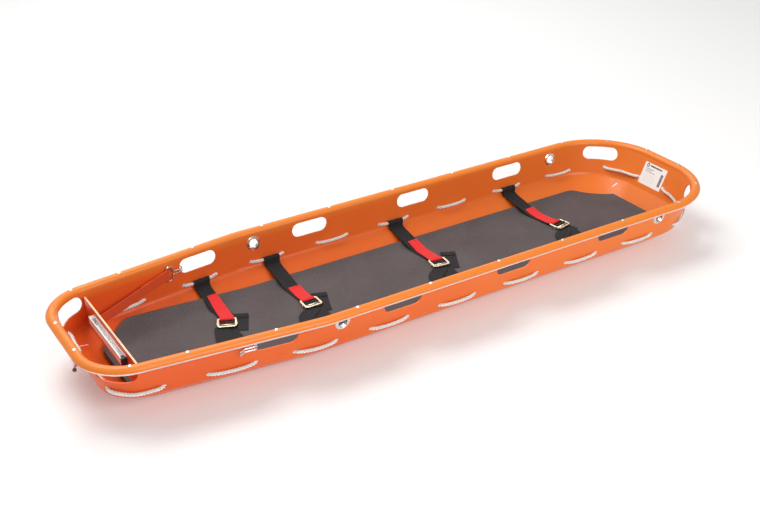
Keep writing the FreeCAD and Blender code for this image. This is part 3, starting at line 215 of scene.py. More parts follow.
def moulded_plastic(name, dark, light, painted_light_colour, highlight_from, highlight_to, head_light, roughness=0.36):
    """Satin polyethylene: cloudy colour, with a painted highlight towards the top and painted light towards the
    head, grain, slow waves and scuffs.
    """
    paint = Paint(name)
    cloud = paint.noise(3.5, 4.0, 0.55)
    colour = paint.ramp(cloud, [(0.3, dark), (0.7, light)])
    height = paint.plus(paint.split(paint.place)[2], paint.levels(cloud, 0.3, 0.7, -0.002, 0.002))
    # painted highlight: the colour blends to the lit colour between the two heights, the rim top in full
    high = paint.levels(height, highlight_from, highlight_to, 0.0, 1.0)
    # painted light: the colour blends towards the lit colour from the foot to the head end
    head_light_share = paint.levels(paint.split(paint.place)[0], -0.9, 1.1, 0.0, head_light)
    colour = paint.mix(paint.maths("MAXIMUM", high, head_light_share), colour, painted_light_colour)
    marks = paint.noise(60.0, 6.0, 0.75, paint.mapped((0.4, 1.0, 2.5)))
    scratch = paint.levels(marks, 0.66, 0.78, 0.0, 0.35)
    pale = tuple(min(1.0, c * 1.12 + 0.05) for c in light)
    paint.to("Base Color", paint.mix(scratch, colour, pale))
    scuff = paint.noise(38.0, 5.0, 0.62, paint.mapped((1.0, 1.0, 3.0)))
    paint.to("Roughness", paint.levels(scuff, 0.35, 0.7, roughness - 0.05, roughness + 0.13))
    grain = paint.bump(paint.noise(420.0, 2.0, 0.5), 0.12, 0.0005)
    wave = paint.bump(paint.noise(9.0, 2.0, 0.4), 0.16, 0.006, grain)
    paint.to("Normal", wave)
    paint.set(Specular_IOR_Level=0.4)
    return paint.material


def metal(name, colour, roughness, brushed=(1.0, 1.0, 1.0), scratch=0.05, warm=None, shine=1.0):
    """Bright metal with fine directional scratches and slightly uneven polish."""
    paint = Paint(name)
    second = warm or tuple(c * 0.88 for c in colour)
    paint.to("Base Color", paint.ramp(paint.noise(22.0, 4.0, 0.6), [(0.35, second), (0.65, colour)]))
    lines = paint.noise(240.0, 3.0, 0.6, paint.mapped(brushed))
    paint.to("Roughness", paint.levels(lines, 0.3, 0.7, roughness * 0.75, roughness * 1.35))
    paint.to("Normal", paint.bump(lines, scratch, 0.0004))
    paint.set(Metallic=shine)
    return paint.material


def webbing(name, dark, light, sheen):
    """Woven strap: fine diamond weave, ribbed edges, yarn-to-yarn colour with painted shade in the weave's low
    places, and a soft nap.
    """
    paint = Paint(name)
    across, along, _ = paint.split(paint.uv)
    wefts, warps = paint.times(across, TURN / 0.0026), paint.times(along, TURN / 0.0036)
    diamonds = paint.times(paint.maths("SINE", paint.plus(wefts, warps)),
                           paint.maths("SINE", paint.maths("SUBTRACT", wefts, warps)))
    ribs = paint.maths("SINE", paint.times(along, TURN / 0.0018))
    height = paint.plus(diamonds, paint.times(ribs, 0.4))
    yarn = paint.noise(900.0, 2.0, 0.6, paint.mapped((1.0, 0.25, 1.0), paint.uv))
    # painted shade: colour darker where the weave sits low and lighter where it stands high, mixed with
    # yarn-to-yarn tone
    weave_shade_and_tone = paint.plus(paint.times(paint.levels(height, -1.4, 1.4, 0.0, 1.0), 0.6), paint.times(yarn, 0.5))
    paint.to("Base Color", paint.ramp(weave_shade_and_tone, [(0.15, dark), (0.85, light)]))
    fuzz = paint.bump(paint.noise(1500.0, 2.0, 0.6), 0.15, 0.0003)
    paint.to("Normal", paint.bump(height, 0.45, 0.0006, fuzz))
    paint.to("Roughness", paint.levels(yarn, 0.3, 0.7, 0.62, 0.85))
    paint.set(Sheen_Weight=sheen, Sheen_Roughness=0.45, Sheen_Tint=(1.0, 1.0, 1.0, 1.0), Specular_IOR_Level=0.3)
    return paint.material


def rope_fibre():
    """Off-white laid rope: yarns running along each strand, with painted shade making the grooves between yarns a
    little grey.
    """
    paint = Paint("laid_polypropylene")
    across, along, _ = paint.split(paint.uv)
    yarns = paint.maths("SINE", paint.plus(paint.times(across, TURN * 7.0), paint.times(along, TURN / 0.02)))
    grime = paint.noise(26.0, 4.0, 0.7)
    tone = paint.ramp(grime, [(0.26, (0.86, 0.80, 0.68)), (0.40, (0.98, 0.96, 0.92)), (0.8, (1.0, 0.99, 0.97))])
    # painted shade: the grooves between yarns are greyer, mixed over the random grime tone
    paint.to("Base Color", paint.mix(paint.levels(yarns, -1.0, 1.0, 0.12, 0.0), tone, (0.74, 0.70, 0.64)))
    fuzz = paint.bump(paint.noise(1300.0, 2.0, 0.6), 0.3, 0.0004)
    paint.to("Normal", paint.bump(yarns, 0.4, 0.0005, fuzz))
    paint.set(Roughness=0.7, Sheen_Weight=0.6, Sheen_Roughness=0.5, Specular_IOR_Level=0.35)
    paint.set(Subsurface_Weight=0.25, Subsurface_Scale=0.006)
    return paint.material


def foam_skin():
    """Closed-cell foam skin: fine pores, faint mottling, a few handling creases."""
    paint = Paint("closed_cell_foam")
    mottle = paint.noise(7.0, 4.0, 0.6)
    pores = paint.noise(650.0, 3.0, 0.65)
    tone = paint.ramp(mottle, [(0.3, (0.084, 0.070, 0.072)), (0.7, (0.110, 0.092, 0.095))])
    specks = paint.levels(paint.noise(300.0, 1.0, 0.5), 0.66, 0.72, 0.0, 0.5)
    paint.to("Base Color", paint.mix(specks, tone, (0.20, 0.18, 0.19)))
    creases = paint.noise(16.0, 2.0, 0.4, paint.mapped((0.35, 1.0, 1.0)))
    dents = paint.bump(creases, 0.22, 0.006)
    paint.to("Normal", paint.bump(pores, 0.35, 0.0005, dents))
    paint.to("Roughness", paint.levels(pores, 0.3, 0.7, 0.66, 0.84))
    paint.set(Specular_IOR_Level=0.35)
    return paint.material


def label_film(box):
    """White film with plain ruled bars: no lettering, only lines, a ring and a tall block."""
    low, high = box
    paint = Paint("printed_film")
    _, y, z = paint.split(paint.place)
    middle_y = (low.y + high.y) / 2

    def within(value, a, b):
        return paint.times(paint.maths("GREATER_THAN", value, a), paint.maths("LESS_THAN", value, b))

    def block(y0, y1, z0, z1):
        """Millimetres from the film's middle and lower edge."""
        return paint.times(within(y, middle_y + y0 * MM, middle_y + y1 * MM),
                           within(z, low.z + z0 * MM, low.z + z1 * MM))

    dark = block(-44, -33, 12, 52)
    for place in (block(-30, 26, 61, 66), block(4, 40, 52, 53.6), block(12, 40, 47, 48.6), block(-6, 40, 42, 43.4)):
        dark = paint.maths("MAXIMUM", dark, place)
    away = paint.plus(paint.maths("POWER", paint.maths("SUBTRACT", y, middle_y + 36 * MM), 2.0),
                      paint.maths("POWER", paint.maths("SUBTRACT", z, low.z + 63 * MM), 2.0))
    dark = paint.maths("MAXIMUM", dark, within(paint.maths("SQRT", away), 3.0 * MM, 6.5 * MM))
    faint = block(-12, 40, 28, 29)
    for row in (33, 23, 18, 13):
        faint = paint.maths("MAXIMUM", faint, block(-12, 40, row, row + 1))
    film = paint.mix(paint.times(faint, 0.35), (0.98, 0.975, 0.96), (0.45, 0.32, 0.30))
    worn = paint.levels(paint.noise(90.0, 4.0, 0.7), 0.45, 0.62, 0.95, 0.75)
    paint.to("Base Color", paint.mix(paint.times(dark, worn), film, (0.10, 0.08, 0.08)))
    paint.to("Roughness", paint.levels(paint.noise(40.0, 3.0), 0.3, 0.7, 0.3, 0.45))
    paint.to("Normal", paint.bump(paint.noise(25.0, 2.0), 0.1, 0.001))
    return paint.material


def plain(name, colour, roughness, grain=900.0):
    """Rubber or thread: one tone with a fine grain and slight mottling."""
    paint = Paint(name)
    second = tuple(c * 0.8 for c in colour)
    paint.to("Base Color", paint.ramp(paint.noise(30.0, 3.0), [(0.3, second), (0.7, colour)]))
    texture = paint.noise(grain, 2.0, 0.6)
    paint.to("Normal", paint.bump(texture, 0.2, 0.0004))
    paint.to("Roughness", paint.levels(texture, 0.3, 0.7, roughness - 0.06, roughness + 0.06))
    return paint.material


def end_cap_rubber():
    """Black rubber on the near cap and pale grey rubber on the far one."""
    paint = Paint("cap_rubber")
    side = paint.maths("GREATER_THAN", paint.split(paint.place)[1], 0.0)
    mottle = paint.noise(60.0, 3.0)
    black = paint.ramp(mottle, [(0.3, (0.015, 0.014, 0.014)), (0.7, (0.028, 0.025, 0.025))])
    pale = paint.ramp(mottle, [(0.3, (0.56, 0.54, 0.52)), (0.7, (0.66, 0.64, 0.62))])
    paint.to("Base Color", paint.mix(side, black, pale))
    paint.to("Normal", paint.bump(paint.noise(900.0, 2.0, 0.6), 0.2, 0.0004))
    paint.set(Roughness=0.55)
    return paint.material


def finish_cad(material, *names):
    """Put one material on every slot of the named CAD nodes."""
    for name in names:
        slots = NODES[name].data.materials
        for index in range(len(slots)):
            slots[index] = material


# Shell: the third colour is a painted highlight on the rim top and painted light towards the head.
SHELL = moulded_plastic("shell_polyethylene", (0.75, 0.098, 0.014), (0.83, 0.126, 0.018), (0.86, 0.235, 0.030),
                        0.150, 0.184, 0.75, 0.33)
# Board: the cream colour is a painted highlight along its top edge.
BOARD = moulded_plastic("board_polyethylene", (0.72, 0.075, 0.014), (0.80, 0.100, 0.020), (0.95, 0.66, 0.40),
                        0.1655, 0.1675, 0.0)
TUBE = metal("mill_aluminium", (0.94, 0.94, 0.93), 0.34, (0.3, 1.0, 1.0))
CHANNEL = metal("bright_aluminium", (0.97, 0.96, 0.95), 0.5, (1.0, 0.2, 1.0), 0.02, shine=0.25)
RIVET = metal("rivet_aluminium", (0.93, 0.92, 0.90), 0.34)
EYELET = metal("nickel_plate", (0.84, 0.82, 0.78), 0.18, scratch=0.03)
WIRE = metal("bright_wire", (0.86, 0.86, 0.86), 0.14, scratch=0.03)
ZINC = metal("yellow_zinc", (0.97, 0.90, 0.70), 0.36, warm=(0.90, 0.80, 0.58))
RUBBER = end_cap_rubber()
# Finishes of the new pieces: the material and the record's slot.
BUCKLE = ZINC, "buckle_zinc"
BLACK_WEB = webbing("black_webbing", (0.006, 0.006, 0.007), (0.026, 0.024, 0.027), 0.04), "webbing_black"
RED_WEB = webbing("red_webbing", (0.66, 0.012, 0.014), (0.92, 0.040, 0.040), 0.08), "webbing_red"
ORANGE_WEB = webbing("orange_webbing", (0.66, 0.060, 0.014), (0.86, 0.115, 0.028), 0.08), "webbing_orange"
ROPE = rope_fibre(), "rope_white"
FOAM = foam_skin(), "pad_foam"
FUSED = plain("heat_sealed_end", (0.20, 0.085, 0.035), 0.45, 300.0), "rope_white"
BLACK_THREAD = plain("black_thread", (0.05, 0.047, 0.05), 0.6), "webbing_black"
RED_THREAD = plain("red_thread", (0.70, 0.06, 0.05), 0.6), "webbing_red"


def finish_frame():
    """Materials of the CAD nodes that stay visible."""
    finish_cad(SHELL, "basket_shell")
    finish_cad(BOARD, "footrest_plate")
    finish_cad(TUBE, "rim_tube_foot", "rim_tube_head", "tube_sleeve_left", "tube_sleeve_right")
    finish_cad(CHANNEL, "footrest_channel")
    finish_cad(RIVET, "rim_rivets", "footrest_rivets", "footrest_strap_rivets")
    finish_cad(EYELET, *[name for name in NODES if name.startswith("grommet_")])
    finish_cad(WIRE, "strap_hook_left", "strap_hook_right")
    finish_cad(RUBBER, "footrest_end_caps")
    finish_cad(label_film(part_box("instruction_label")), "instruction_label")
    for number in range(1, 5):
        finish_cad(ZINC, "buckle_%d_bar" % number)


# ---------------- the basket's plan, in millimetres

RIM_Z, KNEE_Z, FLOOR_Z = 174.3, 72.0, 10.0
RIM_HALF, RIM_FOOT_X, RIM_HEAD_X, RIM_FOOT_HALF, RIM_BEND_X = 289.3, -1064.3, 1064.3, 216.0, -438.0
WALL = 4.3
# Inwards from the rim's plan, and corner radii at the foot, the bend and the head: rim, knee, floor.
SIDE_INSETS, FOOT_INSETS, HEAD_INSETS = (11.4, 24.3, 104.0), (11.4, 40.0, 135.0), (11.4, 58.0, 110.0)
CORNER_RADII = ((121.6, 313.6, 216.6), (105.0, 301.0, 188.0), (55.0, 225.0, 130.0))
TAPER = atan2(RIM_HALF - RIM_FOOT_HALF, RIM_BEND_X - RIM_FOOT_X)
TAPER_WAY = Vector((cos(TAPER), sin(TAPER), 0.0))


def lerp(low, high, part):
    """The value part of the way from low to high."""
    return low + (high - low) * part


def corner_points(side, foot, head):
    """Plan corners of the left half, foot, bend and head, inside the rim by the three insets."""
    foot_x = RIM_FOOT_X + foot
    half = RIM_HALF - side
    at_foot = RIM_FOOT_HALF + tan(TAPER) * (foot_x - RIM_FOOT_X) - side / cos(TAPER)
    bend_x = foot_x + (half - at_foot) / tan(TAPER)
    return (foot_x, at_foot), (bend_x, half), (RIM_HEAD_X - head, half)


def wall_place(kind, where, z, out):
    """Point at height z, out millimetres outside the inner wall face, on the left half.

    where is x on a side wall, y on an end wall, and degrees round a corner.
    """
    levels = (RIM_Z, KNEE_Z, FLOOR_Z)
    index = 0 if z >= KNEE_Z else 1
    part = (levels[index] - z) / (levels[index] - levels[index + 1])
    side, foot, head = (lerp(row[index], row[index + 1], part) + WALL - out
                        for row in (SIDE_INSETS, FOOT_INSETS, HEAD_INSETS))
    radii = [lerp(a, b, part) - WALL + out for a, b in zip(CORNER_RADII[index], CORNER_RADII[index + 1])]
    foot_corner, bend_corner, head_corner = corner_points(side, foot, head)
    if kind == "side":
        reach = min(0.0, where - bend_corner[0])
        return Vector((where, bend_corner[1] + reach * tan(TAPER), z))
    if kind in ("head", "foot"):
        return Vector(((head_corner if kind == "head" else foot_corner)[0], where, z))
    if kind == "head_corner":
        radius = radii[2]
        centre = Vector((head_corner[0] - radius, head_corner[1] - radius, z))
    else:
        radius = radii[0]
        centre_y = foot_corner[1] + radius * tan(TAPER) - radius / cos(TAPER)
        centre = Vector((foot_corner[0] + radius, centre_y, z))
    angle = radians(where)
    return centre + Vector((cos(angle), sin(angle), 0.0)) * radius


# ---------------- mesh helpers


def add_mesh(name, points, faces, finish, body="basket", uvs=None):
    """Link a mesh piece given in metres; uvs is one pair per vertex."""
    material, slot = finish
    mesh = bpy.data.meshes.new(name)
    mesh.from_pydata([tuple(p) for p in points], [], faces)
    mesh.materials.append(material)
    if uvs is not None:
        layer = mesh.uv_layers.new(name="weave")
        for loop in mesh.loops:
            layer.data[loop.index].uv = uvs[loop.vertex_index]
    for polygon in mesh.polygons:
        polygon.use_smooth = True
    mesh.update()
    piece = linked(name, mesh)
    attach(piece, body)
    return piece


def mirrored(point):
    """The same point on the basket's right half."""
    return Vector((point.x, -point.y, point.z))


def spline_line(points, resolution):
    """Points read from a NURBS spline of order 3 with the given control points, in metres."""
    curve = bpy.data.curves.new("route", "CURVE")
    curve.dimensions = "3D"
    curve.resolution_u = resolution
    spline = curve.splines.new("NURBS")
    spline.points.add(len(points) - 1)
    for target, point in zip(spline.points, points):
        target.co = (*point, 1.0)
    spline.order_u = 3
    spline.use_endpoint_u = True
    holder = linked("route", curve)
    bpy.context.view_layer.update()
    mesh = bpy.data.meshes.new_from_object(holder.evaluated_get(bpy.context.evaluated_depsgraph_get()))
    line = [v.co.copy() for v in mesh.vertices]
    bpy.data.objects.remove(holder)
    bpy.data.curves.remove(curve)
    bpy.data.meshes.remove(mesh)
    return line


def even_steps(line, step):
    """The same line walked in equal steps."""
    made = [line[0].copy()]
    spare = 0.0
    for a, b in pairwise(line):
        length = (b - a).length
        while spare + length >= step:
            part = (step - spare) / length
            a = a.lerp(b, part)
            made.append(a.copy())
            length = (b - a).length
            spare = 0.0
            if length < 1e-9:
                break
        spare += length
    return made


def way_at(line, index):
    """Unit way along a line of points at one of them."""
    return (line[min(index + 1, len(line) - 1)] - line[max(index - 1, 0)]).normalized()


def left_of(way):
    """Level way square to a level way, on its left."""
    return Vector((-way.y, way.x, 0.0))


def carried_frames(line):
    """Tangent and two sides at each point, carried along the line without twisting."""
    tangents = [way_at(line, index) for index in range(len(line))]
    side = tangents[0].orthogonal().normalized()
    frames = []
    for tangent in tangents:
        side = (side - tangent * side.dot(tangent)).normalized()
        frames.append((tangent, side, tangent.cross(side)))
    return frames


def tube_faces(first, rings, sides):
    """Quads and two end faces of a tube of rings of points that starts at vertex first."""
    faces = []
    for ring in range(rings - 1):
        for k in range(sides):
            a = first + ring * sides + k
            b = first + ring * sides + (k + 1) % sides
            faces.append((a, b, b + sides, a + sides))
    last = first + (rings - 1) * sides
    return faces + [tuple(first + k for k in reversed(range(sides))), tuple(last + k for k in range(sides))]


def strand_mesh(line, radius, lay, strands=3, sides=7):
    """Vertices, faces and uvs of the strands of a laid rope round a centre line."""
    strand = radius / (1 + 2 / sqrt(3))
    orbit = radius - strand
    frames = carried_frames(line)
    points, faces, uvs = [], [], []
    along = [0.0]
    for a, b in pairwise(line):
        along.append(along[-1] + (b - a).length)
    for number in range(strands):
        faces += tube_faces(len(points), len(line), sides)
        for index, (tangent, side, other) in enumerate(frames):
            turn = TURN * (along[index] / lay + number / strands)
            out = side * cos(turn) + other * sin(turn)
            round_way = tangent.cross(out)
            centre = line[index] + out * orbit
            for k in range(sides):
                angle = TURN * k / sides
                points.append(centre + (out * cos(angle) + round_way * sin(angle)) * strand)
                uvs.append((k / sides, along[index]))
    return points, faces, uvs


# ---------------- lifeline rope and its knot

ROPE_RADIUS, ROPE_BULK, ROPE_LAY = 5.0, 5.5, 27.0  # nominal, over its strands, and one strand's full turn
ROPE_Z = 90.0
ROPE_INSIDE, ROPE_OUTSIDE, ROPE_CORNER_EXTRA = -9.5, 6.2, 3.0
ROPE_RUNS, ROPE_PITCH, ROPE_FIRST_X, ROPE_INSIDE_HALF, ROPE_CROSSING, ROPE_SAG = 6, 234.0, -579.0, 43.0, 20.0, 5.0
KNOT_ACROSS, KNOT_DEEP, KNOT_SPOTS = 5.2, 5.6, 14
FUSED_RINGS = ((-3.0, 4.9), (-1.0, 5.6), (1.2, 5.7), (3.0, 5.0), (4.4, 3.4), (5.0, 1.2))  # along, radius
FUSED_SIDES = 12


def rope_route():
    """Control points of the rope, from its left end at the foot round the head to its right end."""
    stations = [  # wall, place along it or angle round the corner, height, inside or not
        ("foot", 8.0, 105.0, False), ("foot", 30.0, 105.0, True), ("foot", 86.0, 103.0, True),
        ("foot_corner", 158.0, 102.0, True), ("foot_corner", 145.0, 98.0, False),
        ("foot_corner", 128.0, 93.0, False), ("foot_corner", 110.0, 88.0, False),
        ("side", -916.0, 88.0, False), ("side", -892.0, ROPE_Z, False), ("side", -872.0, ROPE_Z, True),
        ("side", -778.0, ROPE_Z, True), ("side", -758.0, ROPE_Z, False), ("side", -700.0, ROPE_Z - ROPE_SAG, False),
    ]
    half, crossing = ROPE_INSIDE_HALF, ROPE_INSIDE_HALF + ROPE_CROSSING
    for index in range(ROPE_RUNS):
        middle = ROPE_FIRST_X + index * ROPE_PITCH
        for step, drop, inside in ((-crossing, 0.0, False), (-half, 0.0, True), (half, 0.0, True),
                                   (crossing, 0.0, False), (ROPE_PITCH / 2, ROPE_SAG, False)):
            stations.append(("side", middle + step, ROPE_Z - drop, inside))
    last = ROPE_FIRST_X + ROPE_RUNS * ROPE_PITCH
    stations += [
        ("side", last - crossing, ROPE_Z, False), ("side", last - half, ROPE_Z, True),
        ("head_corner", 79.0, ROPE_Z, True), ("head_corner", 72.0, 91.0, False), ("head_corner", 62.0, 93.0, False),
        ("head_corner", 51.0, 97.0, False), ("head_corner", 41.0, 100.0, False), ("head_corner", 34.0, 102.0, True),
        ("head_corner", 16.0, 105.0, True), ("head", 72.0, 105.0, True), ("head", 50.0, 105.0, False),
        ("head", 0.0, 101.0, False),
    ]
    left = []
    for kind, where, z, inside in stations:
        out = ROPE_INSIDE if inside else WALL + ROPE_OUTSIDE
        if "corner" in kind and not inside:
            out += ROPE_CORNER_EXTRA
        left.append(wall_place(kind, where, z, out) * MM)
    return left + [mirrored(p) for p in reversed(left[:-1])]


def add_rope():
    """The laced rope and the points that its strands follow."""
    path = even_steps(spline_line(rope_route(), 24), 2.6 * MM)
    points, faces, uvs = strand_mesh(path, ROPE_BULK * MM, ROPE_LAY * MM)
    rope = add_mesh("laced_rope", points, faces, ROPE, uvs=uvs)
    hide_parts("lifeline_rope")
    return rope, path


def add_knot(end):
    """Both rope ends tied in one round knot, with a short heat-sealed tail."""
    centre = Vector((end.x - 6.5 * MM, 0.0, end.z))
    across, deep = KNOT_ACROSS * MM, KNOT_DEEP * MM
    loop = []
    for index in range(KNOT_SPOTS):
        t = TURN * index / KNOT_SPOTS * 0.97
        loop.append(centre + Vector((-sin(3 * t) * deep, (sin(t) + 2 * sin(2 * t)) * across * 0.92,
                                     (cos(t) - 2 * cos(2 * t)) * across * 0.72)))
    tail = loop[-1]
    loop += [tail + Vector(step) * MM for step in ((-7.0, -5.0, 2.0), (-15.0, -13.0, 0.0), (-21.0, -22.0, -5.0))]
    path = even_steps(spline_line(loop, 12), 2.0 * MM)
    points, faces, uvs = strand_mesh(path, 4.8 * MM, ROPE_LAY * MM, sides=6)
    knot = add_mesh("rope_end_knot", points, faces, ROPE, uvs=uvs)
    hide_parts("rope_knot")

    far = path[-1]
    way = (far - path[-4]).normalized()
    side = way.orthogonal().normalized()
    other = way.cross(side)
    points = []
    for ring, (step, radius) in enumerate(FUSED_RINGS):
        for k in range(FUSED_SIDES):
            angle = TURN * k / FUSED_SIDES
            bump = 1.0 + 0.10 * sin(3 * angle + ring)
            around = side * cos(angle) + other * sin(angle)
            points.append(far + way * step * MM + around * radius * bump * MM)
    faces = tube_faces(0, len(FUSED_RINGS), FUSED_SIDES)
    return knot, add_mesh("rope_fused_end", points, faces, FUSED)


def add_loose_yarn():
    """A yarn that has worked loose from the rope inside the foot wall."""
    root = wall_place("foot", 66.0, 101.0, ROPE_INSIDE) + Vector((4.2, 0.0, 1.0))
    steps = ((0.0, 0.0, 0.0), (5.0, -3.0, 4.0), (12.0, -5.0, 3.0), (17.0, -10.0, 6.0), (23.0, -12.0, 5.0))
    path = even_steps(spline_line([(root + Vector(step)) * MM for step in steps], 8), 1.2 * MM)
    points, faces, uvs = strand_mesh(path, 1.3 * MM, 9.0 * MM, strands=2, sides=5)
    return add_mesh("rope_loose_yarn", points, faces, ROPE, uvs=uvs)


# ---------------- foam pad

PAD_OUTLINE = ((-940.0, 128.0), (-842.0, 206.0), (-438.0, 208.5), (840.0, 207.0), (950.0, 112.0))  # x, half width
PAD_FOOT, PAD_HEAD = PAD_OUTLINE[0][0], PAD_OUTLINE[-1][0]
PAD_THICKNESS, PAD_BASE = 16.0, 15.5
LIFT_FOOT, LIFT_HEAD = -916.0, 936.0  # the mat's ends rise up the end walls past these
FLOOR_SHIFT = 1.6
SLOPE = atan2(KNEE_Z - FLOOR_Z, SIDE_INSETS[2] - SIDE_INSETS[1])
BEND_ROUND = 26.0
EDGE_ROUND, EDGE_POWER = 5.0, 2.6


def floor_half(x):
    """Half width of the basket's floor at x, with its rounded corners."""
    x = min(max(x, LIFT_FOOT), LIFT_HEAD)
    foot_radius, _, head_radius = (radius - WALL for radius in CORNER_RADII[2])
    insets = [row[2] + FLOOR_SHIFT for row in (SIDE_INSETS, FOOT_INSETS, HEAD_INSETS)]
    foot, bend, head = corner_points(*insets)
    foot_centre_x = foot[0] + foot_radius
    foot_centre_y = foot[1] + foot_radius * tan(TAPER) - foot_radius / cos(TAPER)
    head_centre_x = head[0] - head_radius
    if x > head_centre_x:
        return bend[1] - head_radius + sqrt(head_radius ** 2 - (x - head_centre_x) ** 2)
    if x < foot_centre_x:
        return foot_centre_y + sqrt(foot_radius ** 2 - (x - foot_centre_x) ** 2)
    return bend[1] + min(0.0, x - bend[0]) * tan(TAPER)


def pad_half(x):
    """Half width of the flat mat at x, its corners eased."""
    def cut(at):
        for low, high in pairwise(PAD_OUTLINE):
            if at <= high[0]:
                return lerp(low[1], high[1], (at - low[0]) / (high[0] - low[0]))
        return PAD_OUTLINE[-1][1]

    width = sum(cut(min(max(x + step, PAD_FOOT), PAD_HEAD)) for step in (-16, -8, 0, 8, 16)) / 5
    for end, sign, radius in ((PAD_FOOT, 1.0, 34.0), (PAD_HEAD, -1.0, 22.0)):
        inwards = (x - end) * sign
        if inwards < radius:
            width -= radius - sqrt(max(radius ** 2 - (radius - inwards) ** 2, 0.0))
    return width


def pad_point(x, girth, over):
    """Point of the mat at x, girth millimetres from its centre line, over its middle plane."""
    lift = PAD_BASE + PAD_THICKNESS / 2
    if x < LIFT_FOOT:
        lift += 15.0 * ((LIFT_FOOT - x) / (LIFT_FOOT - PAD_FOOT)) ** 1.4
    if x > LIFT_HEAD:
        lift += 9.0 * (x - LIFT_HEAD) / (PAD_HEAD - LIFT_HEAD)
    level = (floor_half(x) - 4.5) - BEND_ROUND / 2
    reach = abs(girth) - level
    if reach <= 0:
        y, z, lean = abs(girth), 0.0, 0.0
    else:
        lean = SLOPE * min(reach / BEND_ROUND, 1.0)
        radius = BEND_ROUND / SLOPE
        y = level + radius * sin(lean)
        z = radius * (1 - cos(lean))
        rest = max(reach - BEND_ROUND, 0.0)
        y += rest * cos(lean)
        z += rest * sin(lean)
    y -= over * sin(lean)
    z += over * cos(lean)
    return Vector((x, copysign(y, girth), z + lift))


def spread(low, high, step):
    """Even places between two ends, crowded at the ends."""
    edge = (0.0, 0.6, 1.6, 3.0, 5.0, 8.0)
    count = round((high - low - 2 * edge[-1]) / step)
    middle = [lerp(low + edge[-1], high - edge[-1], k / count) for k in range(1, count)]
    return [low + e for e in edge] + middle + [high - e for e in reversed(edge)]


def edge_round(distance):
    """Half thickness of the mat at a distance from its cut edge."""
    part = min(max(distance / EDGE_ROUND, 0.0), 1.0)
    return (PAD_THICKNESS / 2) * (1 - (1 - part) ** EDGE_POWER) ** (1 / EDGE_POWER)


def add_pad():
    """The foam mat: two skins that meet at its edge, the upper one a little uneven."""
    rows = spread(PAD_FOOT, PAD_HEAD, 15.0)
    edge = [0.96, 0.975, 0.985, 0.992, 0.997, 1.0]
    shares = [-e for e in reversed(edge)] + [lerp(-0.94, 0.94, k / 34) for k in range(35)] + edge
    points, faces, index = [], [], {}
    for i, x in enumerate(rows):
        half = pad_half(x)
        for j, share in enumerate(shares):
            girth = share * half
            thick = edge_round(min(half - abs(girth), x - PAD_FOOT, PAD_HEAD - x))
            swell = 0.8 * noise.noise(Vector((x / 130.0, girth / 90.0, 1.7)))
            swell += 0.35 * noise.noise(Vector((x / 32.0, girth / 38.0, 5.2)))
            for side in (1, -1):
                if side == -1 and thick < 0.01:
                    index[i, j, -1] = index[i, j, 1]
                    continue
                index[i, j, side] = len(points)
                over = side * thick + (swell if side == 1 else 0.0) * min(thick / 6.0, 1.0)
                points.append(pad_point(x, girth, over) * MM)
    for i in range(len(rows) - 1):
        for j in range(len(shares) - 1):
            for side in (1, -1):
                face = [index[i, j, side], index[i + 1, j, side], index[i + 1, j + 1, side], index[i, j + 1, side]]
                kept = list(dict.fromkeys(face))
                if len(kept) > 2:
                    faces.append(kept if side == 1 else kept[::-1])
    pad = add_mesh("foam_mat", points, faces, FOAM)
    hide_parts("mattress_pad")


# ---------------- webbing

Strap = namedtuple("Strap", "far_x near_x tab_reach buckle_x buckle_y degrees")
STRAPS = (  # from the foot; tab_reach is the y of the red tab's tip
    Strap(-579.0, -585.0, 192.0, -584.5, 53.0, -23.5),
    Strap(-335.0, -352.0, 136.0, -323.0, 22.0, -1.0),
    Strap(123.0, 117.0, 174.0, 139.0, 19.0, -7.0),
    Strap(591.0, 594.0, 160.0, 632.0, 18.0, 12.5),
)
WEB_THICK, TAB_WIDTH, TAB_ASIDE = 2.0, 40.0, 7.0
WEB_Z = 33.1  # middle of webbing that lies on the mat
LANDING = 128.0  # a taut strap comes down to the mat at this y
ROUND_THE_ROPE = (  # inwards and up from the rope, width, ripple: the inner layer, the loop, the way down
    (4.2, -26.0, 44.0, 1.2), (3.0, -14.0, 47.0, 1.8), (-4.4, -6.0, 50.0, 1.6), (-7.0, 0.5, 52.0, 1.2),
    (-3.8, 6.0, 53.0, 1.2), (1.5, 7.2, 54.0, 1.2), (6.2, 3.4, 54.0, 1.3), (7.4, -3.5, 53.0, 1.6),
    (8.2, -14.0, 51.0, 1.8),
)
THREAD_SIDES, STITCH, STITCH_GAP, THREAD_RADIUS = 5, 3.0, 1.6, 0.42
THREAD_RINGS = ((0.0, -0.3, 0.5), (0.25, 0.25, 1.0), (0.75, 0.25, 1.0), (1.0, -0.3, 0.5))  # along, rise, size


def smooth_rows(rows, step):
    """Catmull-Rom through rows of centre, across way, width and ripple, in even short steps."""
    ends = [rows[0]] + list(rows) + [rows[-1]]
    made = []
    for a, b, c, d in zip(ends[:-3], ends[1:-2], ends[2:-1], ends[3:]):
        count = max(2, round((c[0] - b[0]).length / step))
        for k in range(count):
            t = k / count
            first, *others = (-t + 2 * t ** 2 - t ** 3, 2 - 5 * t ** 2 + 3 * t ** 3, t + 4 * t ** 2 - 3 * t ** 3,
                              -t ** 2 + t ** 3)
            made.append([sum((row[item] * (w / 2) for row, w in zip((b, c, d), others)), a[item] * (first / 2))
                         for item in range(4)])
    return made + [list(rows[-1])]


